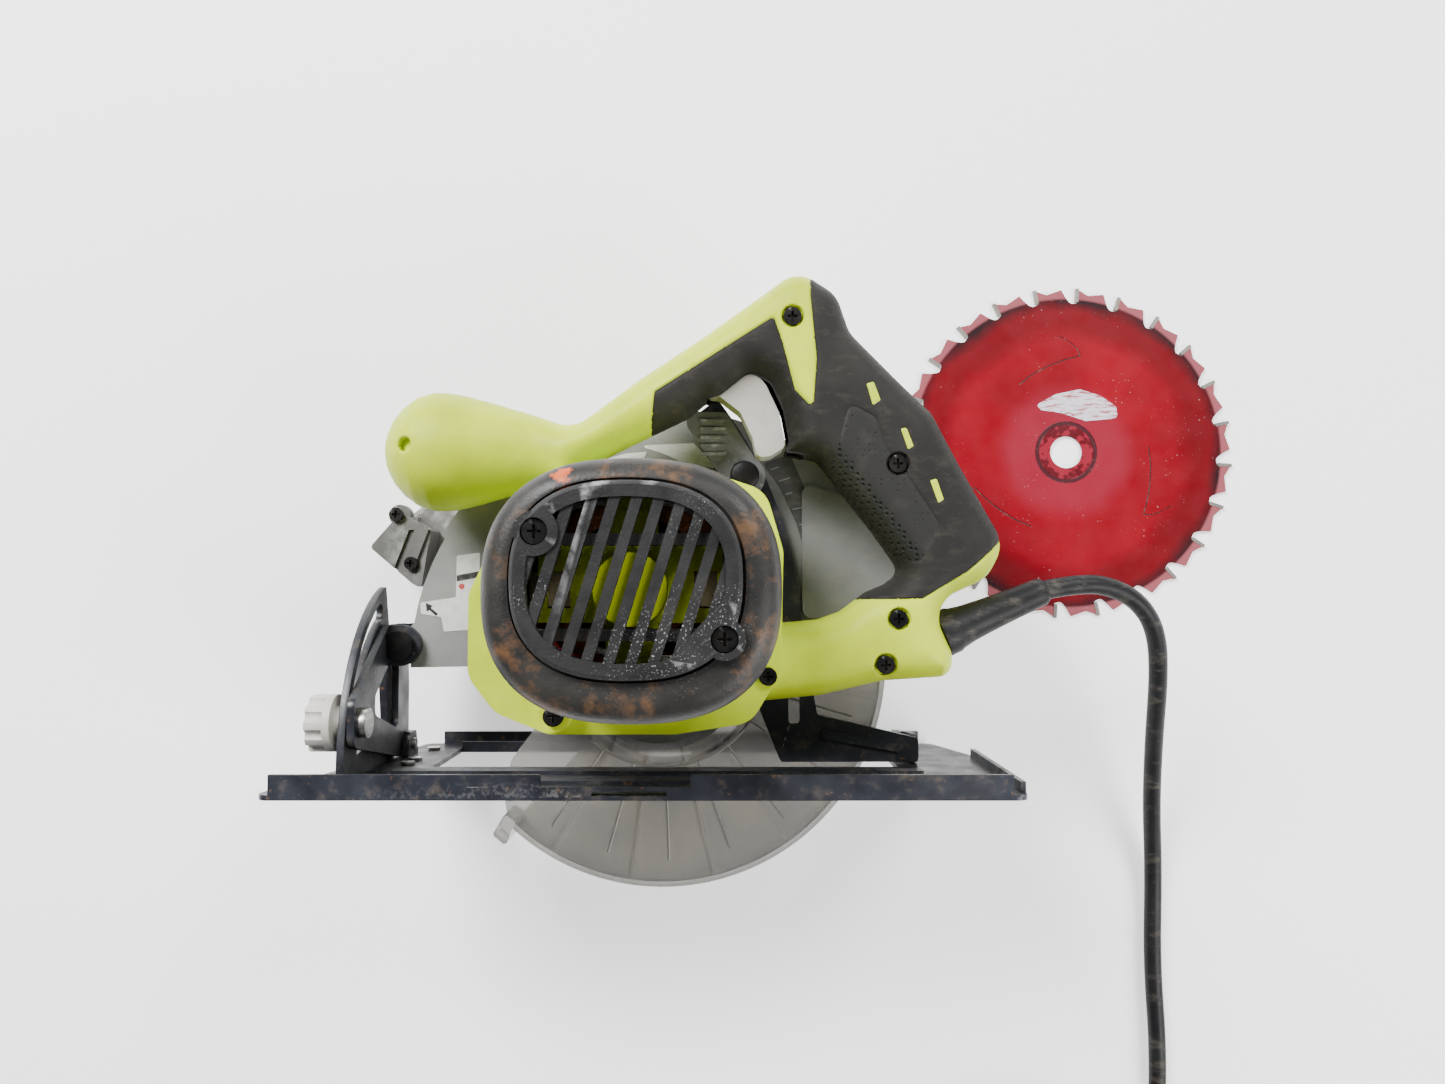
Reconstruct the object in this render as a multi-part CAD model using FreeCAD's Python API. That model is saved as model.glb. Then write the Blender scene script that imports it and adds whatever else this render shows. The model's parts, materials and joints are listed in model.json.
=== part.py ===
import FreeCAD, Part
import math
import os

# Corded circular saw, stored lying on its right-hand side with its blade taken off.
# +X runs from the saw's nose to its tail, +Y from its sole to its handle, and +Z up
# along the motor and the spindle.  All lengths are in millimetres, measured from the
# spindle's axis and from the surface that the saw lies on.  The model is moved at the
# end so that the origin is the bottom centre of everything but the cord.

# ---- driving dimensions -------------------------------------------------------------
BLADE_PLANE = 38.0                 # height of the blade's plane above the surface
SOLE_Y = -45.5                     # sole of the base, below the spindle
BASE_WIDTH = 138.0
BASE_FRONT = -148.0
BASE_REAR = 141.0
SHEET = 2.0                        # thickness of the base's steel sheet
OPENING_X = (-98.0, 102.0)         # the opening for the blade and its lower guard
OPENING_Z = (16.0, 72.0)

GEAR_MODULE = 1.25
PINION_TEETH = 9
GEAR_TEETH = 44
GEAR_FACE = (66.0, 76.0)           # heights of the output gear
CENTRE_DISTANCE = GEAR_MODULE * (PINION_TEETH + GEAR_TEETH) / 2
MOTOR_X = -4.0
MOTOR_Y = math.sqrt(CENTRE_DISTANCE ** 2 - MOTOR_X ** 2)

UPPER_GUARD_R = 111.0
UPPER_GUARD_Z = (22.0, 60.0)
LOWER_GUARD_R = 100.0
LOWER_GUARD_Z = (26.5, 51.5)
HUB_R = 20.0                       # boss that the lower guard turns on
SPRING_WIRE_R = 0.5

PIVOT_X = -114.6                   # depth pivot at the nose
PIVOT_Y = 8.0
PIVOT_LUG_R = 7.5
DEPTH_BOLT_X = 36.3
DEPTH_BOLT_Y = 81.4
HINGE_Y = -38.0                    # bevel hinge, in the blade's plane
KNOB_RADIUS_OUT = 67.0             # bevel knob from the bevel hinge
KNOB_ANGLE = 14.7                  # from +Z towards +Y, saw upright
BEVEL_TRAVEL = 50.0

HANDLE_MID = 93.0                  # seam of the two handle shells
HANDLE_HALF = 18.0
HANDLE_WALL = 3.0

BLADE_X = 197.8                    # where the loose blade lies
BLADE_Y = 100.6
BLADE_R = 82.5
BLADE_TEETH = 24
BLADE_BORE_R = 7.94
PLATE_THICK = 1.3
KERF = 1.8
TIP_WIDTH = 1.7                    # carbide tip, along the rim
BLADE_PHASE = 11.0                 # angle of one tooth's tip

CORD_R = 4.1
COIL_MID_R = 44.0

parts = {}
cord_parts = {}


# ---- small helpers ------------------------------------------------------------------
def vec(x, y, z=0.0):
    return FreeCAD.Vector(x, y, z)


def on_circle(radius, degrees, x=0.0, y=0.0, z=0.0):
    angle = math.radians(degrees)
    return vec(x + radius * math.cos(angle), y + radius * math.sin(angle), z)


def block(low, high):
    size = [high[i] - low[i] for i in range(3)]
    return Part.makeBox(size[0], size[1], size[2], vec(*low))


def rod(radius, z_low, z_high, x=0.0, y=0.0):
    return Part.makeCylinder(radius, z_high - z_low, vec(x, y, z_low))


def rod_x(radius, x_low, x_high, y, z):
    return Part.makeCylinder(radius, x_high - x_low, vec(x_low, y, z), vec(1, 0, 0))


def ring(outer, inner, z_low, z_high, x=0.0, y=0.0):
    return rod(outer, z_low, z_high, x, y).cut(rod(inner, z_low - 1, z_high + 1, x, y))


def fuse(shapes):
    whole = shapes[0].fuse(shapes[1:]) if len(shapes) > 1 else shapes[0]
    return whole.removeSplitter()


def closed_wire(points):
    return Part.makePolygon(list(points) + [points[0]])


def rounded_wire(points, radius):
    """A closed outline whose corners are arcs, as large as the sides allow."""
    count = len(points)
    edges = []
    starts = []
    for i in range(count):
        before = points[i - 1]
        corner = points[i]
        after = points[(i + 1) % count]
        to_before = before.sub(corner)
        to_after = after.sub(corner)
        half_turn = (math.pi - to_before.getAngle(to_after)) / 2
        reach = min(to_before.Length, to_after.Length) * 0.48
        cut = min(radius * math.tan(half_turn), reach)
        size = cut / math.tan(half_turn)
        to_before.normalize()
        to_after.normalize()
        bisector = to_before.add(to_after)
        bisector.normalize()
        first = corner.add(to_before * cut)
        last = corner.add(to_after * cut)
        middle = corner.add(bisector * (size / math.cos(half_turn) - size))
        starts.append((first, middle, last))
    for i, (first, middle, last) in enumerate(starts):
        edges.append(Part.Arc(first, middle, last).toShape())
        following = starts[(i + 1) % count][0]
        if last.distanceToPoint(following) > 1e-4:
            edges.append(Part.LineSegment(last, following).toShape())
    return Part.Wire(edges)


def prism(outline, z_low, z_high, radius=0.0):
    """A slab over an outline of (x, y) points."""
    points = [vec(x, y, z_low) for x, y in outline]
    wire = rounded_wire(points, radius) if radius else closed_wire(points)
    return Part.Face(wire).extrude(vec(0, 0, z_high - z_low))


def prism_x(outline, x_low, x_high, radius=0.0):
    """A slab square to X over an outline of (y, z) points."""
    points = [vec(x_low, y, z) for y, z in outline]
    wire = rounded_wire(points, radius) if radius else closed_wire(points)
    return Part.Face(wire).extrude(vec(x_high - x_low, 0, 0))


def sector(inner, outer, start, end, z_low, z_high, x=0.0, y=0.0):
    """Part of a flat ring between two angles in degrees."""
    middle = (start + end) / 2
    inner_arc = Part.Arc(on_circle(inner, end, x, y, z_low),
                         on_circle(inner, middle, x, y, z_low),
                         on_circle(inner, start, x, y, z_low)).toShape()
    outer_arc = Part.Arc(on_circle(outer, start, x, y, z_low),
                         on_circle(outer, middle, x, y, z_low),
                         on_circle(outer, end, x, y, z_low)).toShape()
    side = Part.LineSegment(on_circle(inner, start, x, y, z_low),
                            on_circle(outer, start, x, y, z_low)).toShape()
    other = Part.LineSegment(on_circle(outer, end, x, y, z_low),
                             on_circle(inner, end, x, y, z_low)).toShape()
    face = Part.Face(Part.Wire([side, outer_arc, other, inner_arc]))
    return face.extrude(vec(0, 0, z_high - z_low))


def arc_slot(radius, half_width, start, end, z_low, z_high, x=0.0, y=0.0):
    """A curved slot with round ends."""
    body = sector(radius - half_width, radius + half_width, start, end, z_low, z_high, x, y)
    ends = []
    for angle in (start, end):
        centre = on_circle(radius, angle, x, y)
        ends.append(rod(half_width, z_low, z_high, centre.x, centre.y))
    return fuse([body] + ends)


def hull_of_circles(circles, z_low, z_high):
    """The outline of a belt round two circles, as a slab."""
    (x1, y1, r1), (x2, y2, r2) = circles
    gap = math.hypot(x2 - x1, y2 - y1)
    lean = math.acos((r1 - r2) / gap)
    heading = math.atan2(y2 - y1, x2 - x1)
    corners = []
    for side in (1, -1):
        angle = heading + side * lean
        corners.append((x1 + r1 * math.cos(angle), y1 + r1 * math.sin(angle)))
        corners.append((x2 + r2 * math.cos(angle), y2 + r2 * math.sin(angle)))
    belt = prism([corners[0], corners[1], corners[3], corners[2]], z_low, z_high)
    return fuse([belt, rod(r1, z_low, z_high, x1, y1), rod(r2, z_low, z_high, x2, y2)])


def pan_screw(x, y, z_top, radius=3.6, length=14.0):
    """A pan-head screw with a cross recess, its head up."""
    head = rod(radius, z_top - 2.4, z_top, x, y)
    shank = rod(radius * 0.5, z_top - 2.4 - length, z_top - 2.4, x, y)
    reach = radius * 0.55
    for bar in ((reach, 0.5), (0.5, reach)):
        head = head.cut(block((x - bar[0], y - bar[1], z_top - 1.4),
                              (x + bar[0], y + bar[1], z_top + 1)))
    return head.fuse(shank)


def toothed_wheel(teeth, module, z_low, z_high, phase=0.0):
    """A spur gear with straight-flanked teeth and a little backlash."""
    pitch_r = teeth * module / 2
    root_r = pitch_r - 1.2 * module
    tip_r = pitch_r + 0.85 * module
    step = 360.0 / teeth
    outline = []
    for tooth in range(teeth):
        centre = phase + tooth * step
        for radius, share in ((root_r, -0.33), (pitch_r, -0.225), (tip_r, -0.1),
                              (tip_r, 0.1), (pitch_r, 0.225), (root_r, 0.33)):
            point = on_circle(radius, centre + share * step)
            outline.append((point.x, point.y))
    return prism(outline, z_low, z_high)


def keep(name, shape, cord=False):
    (cord_parts if cord else parts)[name] = shape


# ---- handle: two shells, grip, trigger ----------------------------------------------
HANDLE_OUTLINE = [
    (-48, 76), (-62, 72), (-62, 108.6), (-34.7, 98.8), (-7.6, 119.1), (17.4, 135.8),
    (42.5, 153.7), (57.5, 165), (74.3, 154), (79.4, 138.5), (100.9, 116.6), (113, 105),
    (124.4, 83.1), (142.5, 51), (135, 37), (112, 26.5), (121.5, 5), (119, -3),
    (91.9, -4.7), (67.1, -10.5), (42.3, -13), (20, -19), (0, 20), (-20, 60)]
FINGER_GAP = [
    (-34, 78), (-26, 85), (-2.6, 96.5), (13, 104), (20, 110), (26, 112), (38, 121.5),
    (46.5, 116.5), (51.5, 105.5), (54, 92), (51.5, 88.5), (57, 88), (66, 85.5), (72.3, 77.3),
    (80, 67.5), (89, 56), (100, 40), (94, 35), (85.8, 31.5), (75, 23.5), (66, 20.3), (52, 19),
    (38, 19), (38, 64), (10, 74)]
MOTOR_OUTLINE = [
    (-74, -2), (-74, 31), (-62, 56), (-40, 76), (20, 80), (44, 72), (51, 48), (50, 0),
    (38, -20), (8, -24.5), (-42, -24.5), (-63, -16)]
TRIGGER_OUTLINE = [
    (36.6, 125.7), (44.5, 116.5), (49.9, 105.1), (52.6, 91), (46.5, 87.2), (41.1, 86.4),
    (39.1, 94.7), (34.1, 105.1), (24.9, 112.2), (19.6, 112.4), (22.4, 118)]
TRIGGER_PIVOT = (25.0, 116.5)
TRIGGER_HALF = 8.0
TRIGGER_ROOM = [
    (38, 130), (50, 126), (60, 108), (63, 88), (50, 84), (36, 84), (34, 100), (24, 108),
    (12, 106), (12, 116), (24, 122)]
BULB_PROFILE = [(-112.5, 0), (-111, 9), (-104, 19), (-92, 24.5), (-80, 23.4), (-66, 19.6),
                (-48, 14.5), (-30, 12.5), (-30, 0)]
BULB_Y = 89.5


def front_bulb():
    """The palm knob in front, turned about an axis along X."""
    curve = Part.BSplineCurve()
    curve.interpolate([vec(x, BULB_Y + r, HANDLE_MID) for x, r in BULB_PROFILE[:-1]])
    first = curve.StartPoint
    last = curve.EndPoint
    foot = vec(last.x, BULB_Y, HANDLE_MID)
    wire = Part.Wire([curve.toShape(), Part.LineSegment(last, foot).toShape(),
                      Part.LineSegment(foot, first).toShape()])
    return Part.Face(wire).revolve(vec(0, BULB_Y, HANDLE_MID), vec(1, 0, 0), 360)


def build_handle():
    low = HANDLE_MID - HANDLE_HALF
    high = HANDLE_MID + HANDLE_HALF
    body = prism(HANDLE_OUTLINE, low, high, 14)
    body = body.cut(prism(FINGER_GAP, low - 5, high + 5, 5))
    inner_face = Part.Face(rounded_wire([vec(x, y, low) for x, y in HANDLE_OUTLINE], 14))
    core = inner_face.makeOffset2D(-HANDLE_WALL).extrude(vec(0, 0, 2 * HANDLE_HALF))
    gap_face = Part.Face(rounded_wire([vec(x, y, low) for x, y in FINGER_GAP], 5))
    core = core.cut(gap_face.makeOffset2D(HANDLE_WALL).extrude(vec(0, 0, 60)))
    core = core.common(block((-28, -60, low + HANDLE_WALL), (170, 200, high - HANDLE_WALL)))
    body = body.cut(core)
    for x, y in HANDLE_SCREWS:
        body = body.fuse(rod(5.5, low, high, x, y))
        body = body.cut(rod(4.2, high - 2.9, high + 1, x, y))
        body = body.cut(rod(1.85, low + 3, high, x, y))
    body = body.cut(prism(TRIGGER_ROOM, HANDLE_MID - TRIGGER_HALF - 1,
                          HANDLE_MID + TRIGGER_HALF + 1))
    body = body.cut(rod(2.55, HANDLE_MID - 15.1, HANDLE_MID + 15.1, *TRIGGER_PIVOT))
    bulb = front_bulb()
    hollow = rod_x(9, -96, -29, BULB_Y, HANDLE_MID)
    body = body.fuse(bulb.cut(hollow)).cut(hollow)
    body = body.cut(prism(MOTOR_OUTLINE, 60, 130, 12))
    body = body.cut(relief_cone(0.3))
    near = body.common(block((-200, -100, HANDLE_MID), (250, 250, 140)))
    far = body.common(block((-200, -100, 40), (250, 250, HANDLE_MID)))
    keep("handle_shell_left", largest(near))
    keep("handle_shell_right", largest(far))


def largest(shape):
    return max(shape.Solids, key=lambda solid: solid.Volume)


GRIP_REGION = [
    (-3.2, 90), (-0.5, 112), (47.4, 142.4), (50.7, 133), (56, 113), (63.2, 105.2), (64.6, 125.5),
    (62.2, 151), (63, 170), (100, 160), (150, 62), (136, 49.7), (124.3, 39.6), (106.4, 29),
    (83.4, 28.6), (60, 30), (30, 80)]
MARK_CENTRES = [(87.3, 111.5), (100.7, 93.2), (112.5, 72.2)]
GRIP_PROUD = 0.8


def build_grip():
    """Soft cover on both faces of the handle, and its three bright marks."""
    pads = []
    marks = []
    outline = Part.Face(rounded_wire([vec(x, y, 0) for x, y in HANDLE_OUTLINE], 14))
    gap = Part.Face(rounded_wire([vec(x, y, 0) for x, y in FINGER_GAP], 5))
    cover = outline.makeOffset2D(-3).cut(gap.makeOffset2D(2.5))
    cover = cover.extrude(vec(0, 0, GRIP_PROUD)).common(prism(GRIP_REGION, -1, 5, 1))
    cover = cover.cut(prism(MOTOR_OUTLINE, -1, 5, 12))
    for x, y in HANDLE_SCREWS:
        cover = cover.cut(rod(5, -1, 5, x, y))
    for low in (HANDLE_MID + HANDLE_HALF, HANDLE_MID - HANDLE_HALF - GRIP_PROUD):
        pads.append(cover.translated(vec(0, 0, low)))
    for low in (HANDLE_MID + HANDLE_HALF + GRIP_PROUD, HANDLE_MID - HANDLE_HALF - 1.2):
        for x, y in MARK_CENTRES:
            shape = [(x - 2.6, y + 3.4), (x, y + 4.2), (x + 2.8, y - 3), (x, y - 4.6)]
            marks.append(prism(shape, low, low + 0.4))
    keep("handle_grip", Part.makeCompound(pads))
    keep("grip_marks", Part.makeCompound(marks))


HANDLE_SCREWS = [(55.0, 142.5), (97.0, 83.0), (97.0, 21.0), (91.7, 2.7)]


def build_handle_screws():
    screws = []
    for x, y in HANDLE_SCREWS:
        screws.append(pan_screw(x, y, HANDLE_MID + HANDLE_HALF - 0.4, 3.6, 14))
    keep("handle_screws", Part.makeCompound(screws))


def build_trigger():
    blade = prism(TRIGGER_OUTLINE, HANDLE_MID - TRIGGER_HALF, HANDLE_MID + TRIGGER_HALF, 3)
    pin = rod(2.5, HANDLE_MID - 15, HANDLE_MID + 15, *TRIGGER_PIVOT)
    hole = rod(2.55, HANDLE_MID - 20, HANDLE_MID + 20, *TRIGGER_PIVOT)
    keep("trigger", blade.cut(hole))
    keep("trigger_pin", pin)
    keep("trigger_switch", block((62, 92, 83), (84, 116, 103)).fuse(
        block((66, 116, 86), (80, 124, 100))))


# ---- motor --------------------------------------------------------------------------
CAP_X = -4.0
CAP_Y = 32.5
CAP_HALF = (51.0, 45.0)            # half width and half height of the end cap
CAP_Z = (142.0, 190.0)
RIM_TOP = 185.5                    # top of the cap's soft rim, below its face
FACE_X = -5.0
FACE_Y = 36.0
FACE_HALF = (38.5, 33.0)           # half width and half height of the cap's face
HOUSING_Z = (88.0, 142.0)
STEP_Z = 112.0


def shrunk(outline, amount, z_low, z_high, radius):
    face = Part.Face(rounded_wire([vec(x, y, z_low) for x, y in outline], radius))
    return face.makeOffset2D(-amount).extrude(vec(0, 0, z_high - z_low))


def rounded_box(x, y, half_x, half_y, z_low, z_high, power=2.5):
    """An upright solid whose outline lies between an ellipse and a rectangle."""
    points = []
    for number in range(32):
        angle = math.radians(number * 11.25 + 5)
        cosine = math.cos(angle)
        sine = math.sin(angle)
        reach_x = math.copysign(abs(cosine) ** (2 / power), cosine)
        reach_y = math.copysign(abs(sine) ** (2 / power), sine)
        points.append(vec(x + half_x * reach_x, y + half_y * reach_y, z_low))
    curve = Part.BSplineCurve()
    curve.interpolate(Points=points, PeriodicFlag=True)
    face = Part.Face(Part.Wire(curve.toShape()))
    return face.extrude(vec(0, 0, z_high - z_low))


def capped(less, z_low, z_high):
    """The end cap's outline, drawn in by less all round."""
    return rounded_box(CAP_X, CAP_Y, CAP_HALF[0] - less, CAP_HALF[1] - less, z_low, z_high)


def faced(less, z_low, z_high):
    """The outline of the end cap's face, drawn in by less all round."""
    return rounded_box(FACE_X, FACE_Y, FACE_HALF[0] - less, FACE_HALF[1] - less, z_low, z_high)


def bearing_bridge():
    """The arch behind the vents that carries the armature's outer bearing."""
    arch = fuse([
        block((MOTOR_X - 32, 21.5, 172.2), (MOTOR_X + 31, 48.5, 174.6)),
        block((MOTOR_X - 9, 10, 172.2), (MOTOR_X + 9, 60, 174.6)),
        block((MOTOR_X - 9, -8.2, 170.4), (MOTOR_X + 9, 14, 172.8)),
        block((MOTOR_X - 9, 54, 170.4), (MOTOR_X + 9, 73.2, 172.8)),
        block((MOTOR_X - 9, -8.2, 130), (MOTOR_X + 9, -6.2, 172.8)),
        block((MOTOR_X - 9, 71.2, 130), (MOTOR_X + 9, 73.2, 172.8)),
        rod(12.4, 172.2, 184.4, MOTOR_X, MOTOR_Y)])
    arch = arch.cut(rod(11.05, 174.9, 183.1, MOTOR_X, MOTOR_Y))
    arch = arch.cut(rod(6, 170, 176, MOTOR_X, MOTOR_Y))
    for x, y in CAP_SCREWS:
        arch = arch.cut(rod(7.4, 165, 180, x, y))
    for side in (1, -1):
        low = min(side * 21, side * 29) + MOTOR_X
        arch = arch.cut(block((low, 26.5, 170), (low + 8, 39, 176)))
    return arch


def build_housing():
    lower = prism(MOTOR_OUTLINE, HOUSING_Z[0], STEP_Z, 12)
    upper = capped(1.2, STEP_Z, HOUSING_Z[1])
    solid = fuse([lower, upper])
    solid = solid.cut(shrunk(MOTOR_OUTLINE, 3.2, HOUSING_Z[0] - 1, STEP_Z - 3, 12))
    solid = solid.cut(capped(4.2, STEP_Z - 4, HOUSING_Z[1] + 1))
    solid = solid.fuse(bearing_bridge())
    for x, y in EAR_PLACES:
        solid = solid.fuse(rod(6.5, HOUSING_Z[0], STEP_Z + 8, x, y))
        solid = solid.cut(rod(2.2, HOUSING_Z[0] - 1, STEP_Z + 9, x, y))
    side_x, side_y = SIDE_SCREW
    solid = solid.cut(rod(1.85, HOUSING_Z[0], STEP_Z + 1, side_x, side_y))
    screws = [pan_screw(x, y, STEP_Z + 11, 4.0, 12) for x, y in EAR_PLACES]
    screws.append(pan_screw(side_x, side_y, STEP_Z + 2.4, 3.6, 2.4))
    keep("motor_housing", solid.removeSplitter())
    keep("housing_screws", Part.makeCompound(screws))


EAR_PLACES = [(-38.5, -16.2)]
SIDE_SCREW = (44.7, -1.6)
CAP_SCREWS = [(-35.3, 52.0), (27.5, 16.5)]
VENT_COUNT = 9
VENT_PITCH = 7.4
VENT_WIDTH = 3.6
VENT_LEAN = 17.0                   # degrees off +Y
VENT_MIDDLE = -7.0                 # the middle vent's place at the motor's height


def vent_slot(x):
    reach = 45.0
    lean = math.tan(math.radians(VENT_LEAN)) * reach
    half = VENT_WIDTH / 2
    outline = [(x - half - lean, CAP_Y - reach), (x + half - lean, CAP_Y - reach),
               (x + half + lean, CAP_Y + reach), (x - half + lean, CAP_Y + reach)]
    return prism(outline, 175, CAP_Z[1] + 2)


def build_end_cap():
    outer = capped(0, CAP_Z[0], RIM_TOP)
    rim = [edge for edge in outer.Edges
           if abs(edge.BoundBox.ZMin - RIM_TOP) < 0.01 and edge.BoundBox.ZLength < 0.01]
    outer = outer.makeFillet(9, rim)
    outer = outer.cut(faced(-1.1, RIM_TOP - 3, RIM_TOP + 1))
    outer = outer.cut(capped(3.2, CAP_Z[0] - 1, 173))
    outer = outer.cut(faced(3, 172, RIM_TOP + 1))
    face = faced(0, 178, CAP_Z[1])
    face_rim = [edge for edge in face.Edges
                if abs(edge.BoundBox.ZMin - CAP_Z[1]) < 0.01 and edge.BoundBox.ZLength < 0.01]
    face = face.makeChamfer(1.5, face_rim)
    face = face.cut(faced(3, 177, CAP_Z[1] - 4.5))
    vents = faced(5.5, 176, CAP_Z[1] + 3)
    for x, y in CAP_SCREWS:
        vents = vents.cut(rod(8.2, 170, 200, x, y))
    vents = vents.cut(prism([(36, 39.5), (6.5, 6.9), (6.5, -20), (60, -20), (60, 39.5)], 170, 200))
    face = face.cut(vents.common(block((-60, -20, CAP_Z[1] - 0.9), (60, 90, 200))))
    for number in range(VENT_COUNT):
        x = VENT_MIDDLE + (number - (VENT_COUNT - 1) / 2) * VENT_PITCH
        face = face.cut(vent_slot(x).common(vents))
    bars = []
    for low in (15.8, 47.5):
        bars.append(block((-60, low, 180.5), (60, low + 4, 186)))
    inner = faced(2.5, 170, CAP_Z[1])
    cap = fuse([outer, face] + [bar.common(inner) for bar in bars])
    for x, y in CAP_SCREWS:
        cap = cap.fuse(rod(7, 158.5, CAP_Z[1] - 1.2, x, y))
        cap = cap.cut(rod(4.6, CAP_Z[1] - 4, CAP_Z[1] + 2, x, y))
        cap = cap.cut(rod(2.2, CAP_Z[0] - 1, CAP_Z[1] + 2, x, y))
    keep("motor_end_cap", largest(cap))
    screws = [pan_screw(x, y, CAP_Z[1] - 1.5, 4.2, 27) for x, y in CAP_SCREWS]
    keep("end_cap_screws", Part.makeCompound(screws))


def build_armature():
    x = MOTOR_X
    y = MOTOR_Y
    keep("armature_shaft", rod(5, 77, 182.8, x, y))
    core = ring(24, 5, 106, 150, x, y)
    for number in range(12):
        groove = on_circle(22.5, number * 30, x, y)
        core = core.cut(rod(1.6, 105, 151, groove.x, groove.y))
    keep("armature_core", core)
    windings = [ring(21, 5, 100, 106, x, y), ring(20.5, 5, 150, 155, x, y)]
    keep("armature_windings", Part.makeCompound(windings))
    commutator = ring(13, 5, 155, 171, x, y)
    for number in range(24):
        groove = on_circle(13, number * 15, x, y)
        commutator = commutator.cut(rod(0.35, 156, 172, groove.x, groove.y))
    keep("commutator", commutator)
    hub = ring(9, 5, 89.5, 99, x, y)
    disc = ring(33, 9, 89.5, 91, x, y)
    blades = []
    for number in range(15):
        blade = block((10, -0.8, 90.5), (32.5, 0.8, 99))
        blade.rotate(vec(0, 0, 0), vec(0, 0, 1), number * 24)
        blade.translate(vec(x, y, 0))
        blades.append(blade)
    keep("cooling_fan", fuse([hub, disc] + blades).cut(rod(5, 80, 120, x, y)))
    wheel = toothed_wheel(PINION_TEETH, GEAR_MODULE, 64.5, 77)
    heading = math.degrees(math.atan2(-y, -x))
    wheel.rotate(vec(0, 0, 0), vec(0, 0, 1), heading + 180.0 / PINION_TEETH)
    wheel.translate(vec(x, y, 0))
    keep("pinion", wheel)


def bearing(x, y, z_low, z_high, outer, inner):
    groove_r = (outer + inner) / 2
    body = ring(outer, inner, z_low, z_high, x, y)
    seam = ring(groove_r + 0.5, groove_r - 0.5, z_high - 0.4, z_high + 1, x, y)
    return body.cut(seam)


def build_stator():
    x = MOTOR_X
    y = MOTOR_Y
    keep("armature_bearings", Part.makeCompound([
        bearing(x, y, 79, 86, 13, 5.05), bearing(x, y, 175, 183, 11, 5.05)]))
    core = ring(38, 24.8, 106, 150, x, y)
    for side in (1, -1):
        core = core.cut(block((x + side * 31 - 5, y - 13, 105), (x + side * 31 + 5, y + 13, 151)))
    keep("stator_core", core)
    coils = []
    for side in (0, 180):
        for z_pair in ((99, 106), (150, 157)):
            coils.append(sector(25.5, 35, side + 25, side + 155, z_pair[0], z_pair[1], x, y))
    keep("stator_coils", Part.makeCompound(coils))
    holders = []
    brushes = []
    for side in (1, -1):
        near = x + side * 15
        far = x + side * 36
        low = min(near, far)
        high = max(near, far)
        tube = block((low, y - 6, 157.5), (high, y + 6, 169.5))
        tube = tube.cut(block((low - 1, y - 4, 159.5), (high + 1, y + 4, 167.5)))
        holders.append(tube)
        tip = sorted((x + side * 13.15, x + side * 30))
        brushes.append(block((tip[0], y - 3.9, 159.6), (tip[1], y + 3.9, 167.4)))
    keep("brush_holders", Part.makeCompound(holders))
    keep("carbon_brushes", Part.makeCompound(brushes))


# ---- gear case and spindle ----------------------------------------------------------
def build_gear_case():
    x = MOTOR_X
    y = MOTOR_Y
    outer = hull_of_circles([(0, 0, 32), (x, y, 24)], 60, 84)
    plate = shrunk(MOTOR_OUTLINE, 0.0, 84, 88, 12)
    shelf = prism([(-64, -14), (-64, 28), (-30, 60), (30, 62), (44, 20), (30, -24), (-44, -24)],
                  78, 84, 10)
    boss = rod(HUB_R, 46.5, 60)
    case = fuse([outer, plate, shelf, boss])
    cavity = fuse([rod(29.5, 63, 80), rod(10, 63, 80, x, y)])
    case = case.cut(cavity)
    case = case.cut(rod(13, 79, 86, x, y))
    case = case.cut(rod(6, 85, 89, x, y))
    case = case.cut(rod(11, 78, 86))
    case = case.cut(rod(13, 50, 58))
    case = case.cut(rod(8, 46, 64))
    case = case.cut(rod_x(3.1, -70, -20, LOCK_Y, LOCK_Z))
    keep("gear_case", largest(case))


LOCK_Y = -6.0
LOCK_Z = 71.0


def build_spindle():
    keep("spindle_bearings", Part.makeCompound([
        bearing(0, 0, 50, 58, 13, 7.05), bearing(0, 0, 78, 85, 11, 7.05)]))
    shaft = fuse([rod(7, 45, 85.5), rod(7.9, 40.5, 45)])
    shaft = shaft.cut(rod(3.5, 40, 66))
    keep("spindle", shaft)
    wheel = toothed_wheel(GEAR_TEETH, GEAR_MODULE, GEAR_FACE[0], GEAR_FACE[1])
    heading = math.degrees(math.atan2(MOTOR_Y, MOTOR_X))
    wheel.rotate(vec(0, 0, 0), vec(0, 0, 1), heading)
    wheel = wheel.cut(rod(7, 60, 80))
    for number in range(6):
        hole = on_circle(17, number * 60)
        wheel = wheel.cut(rod(4, 60, 80, hole.x, hole.y))
    keep("output_gear", wheel)
    inner = fuse([ring(20, 7.9, 40.5, 44.5), ring(12, 7.9, 39, 44.5)])
    keep("inner_flange", inner.cut(rod(7.9, 30, 60)))
    outer = ring(18, 3.6, 34.5, 39)
    outer = outer.cut(ring(13, 6, 38, 40))
    keep("outer_flange", outer)
    hexagon = [(on_circle(7.5, 60 * n).x, on_circle(7.5, 60 * n).y) for n in range(6)]
    head = prism(hexagon, 27.5, 33)
    bolt = fuse([head, rod(9, 33, 34.5), rod(3.5, 34.5, 64)])
    keep("blade_bolt", bolt)
    pin = fuse([rod_x(3, -53, -33.5, LOCK_Y, LOCK_Z), rod_x(6.5, -58, -50, LOCK_Y, LOCK_Z)])
    keep("spindle_lock", pin)


# ---- guards -------------------------------------------------------------------------
UPPER_START = 2.0
UPPER_END = 181.0


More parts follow.
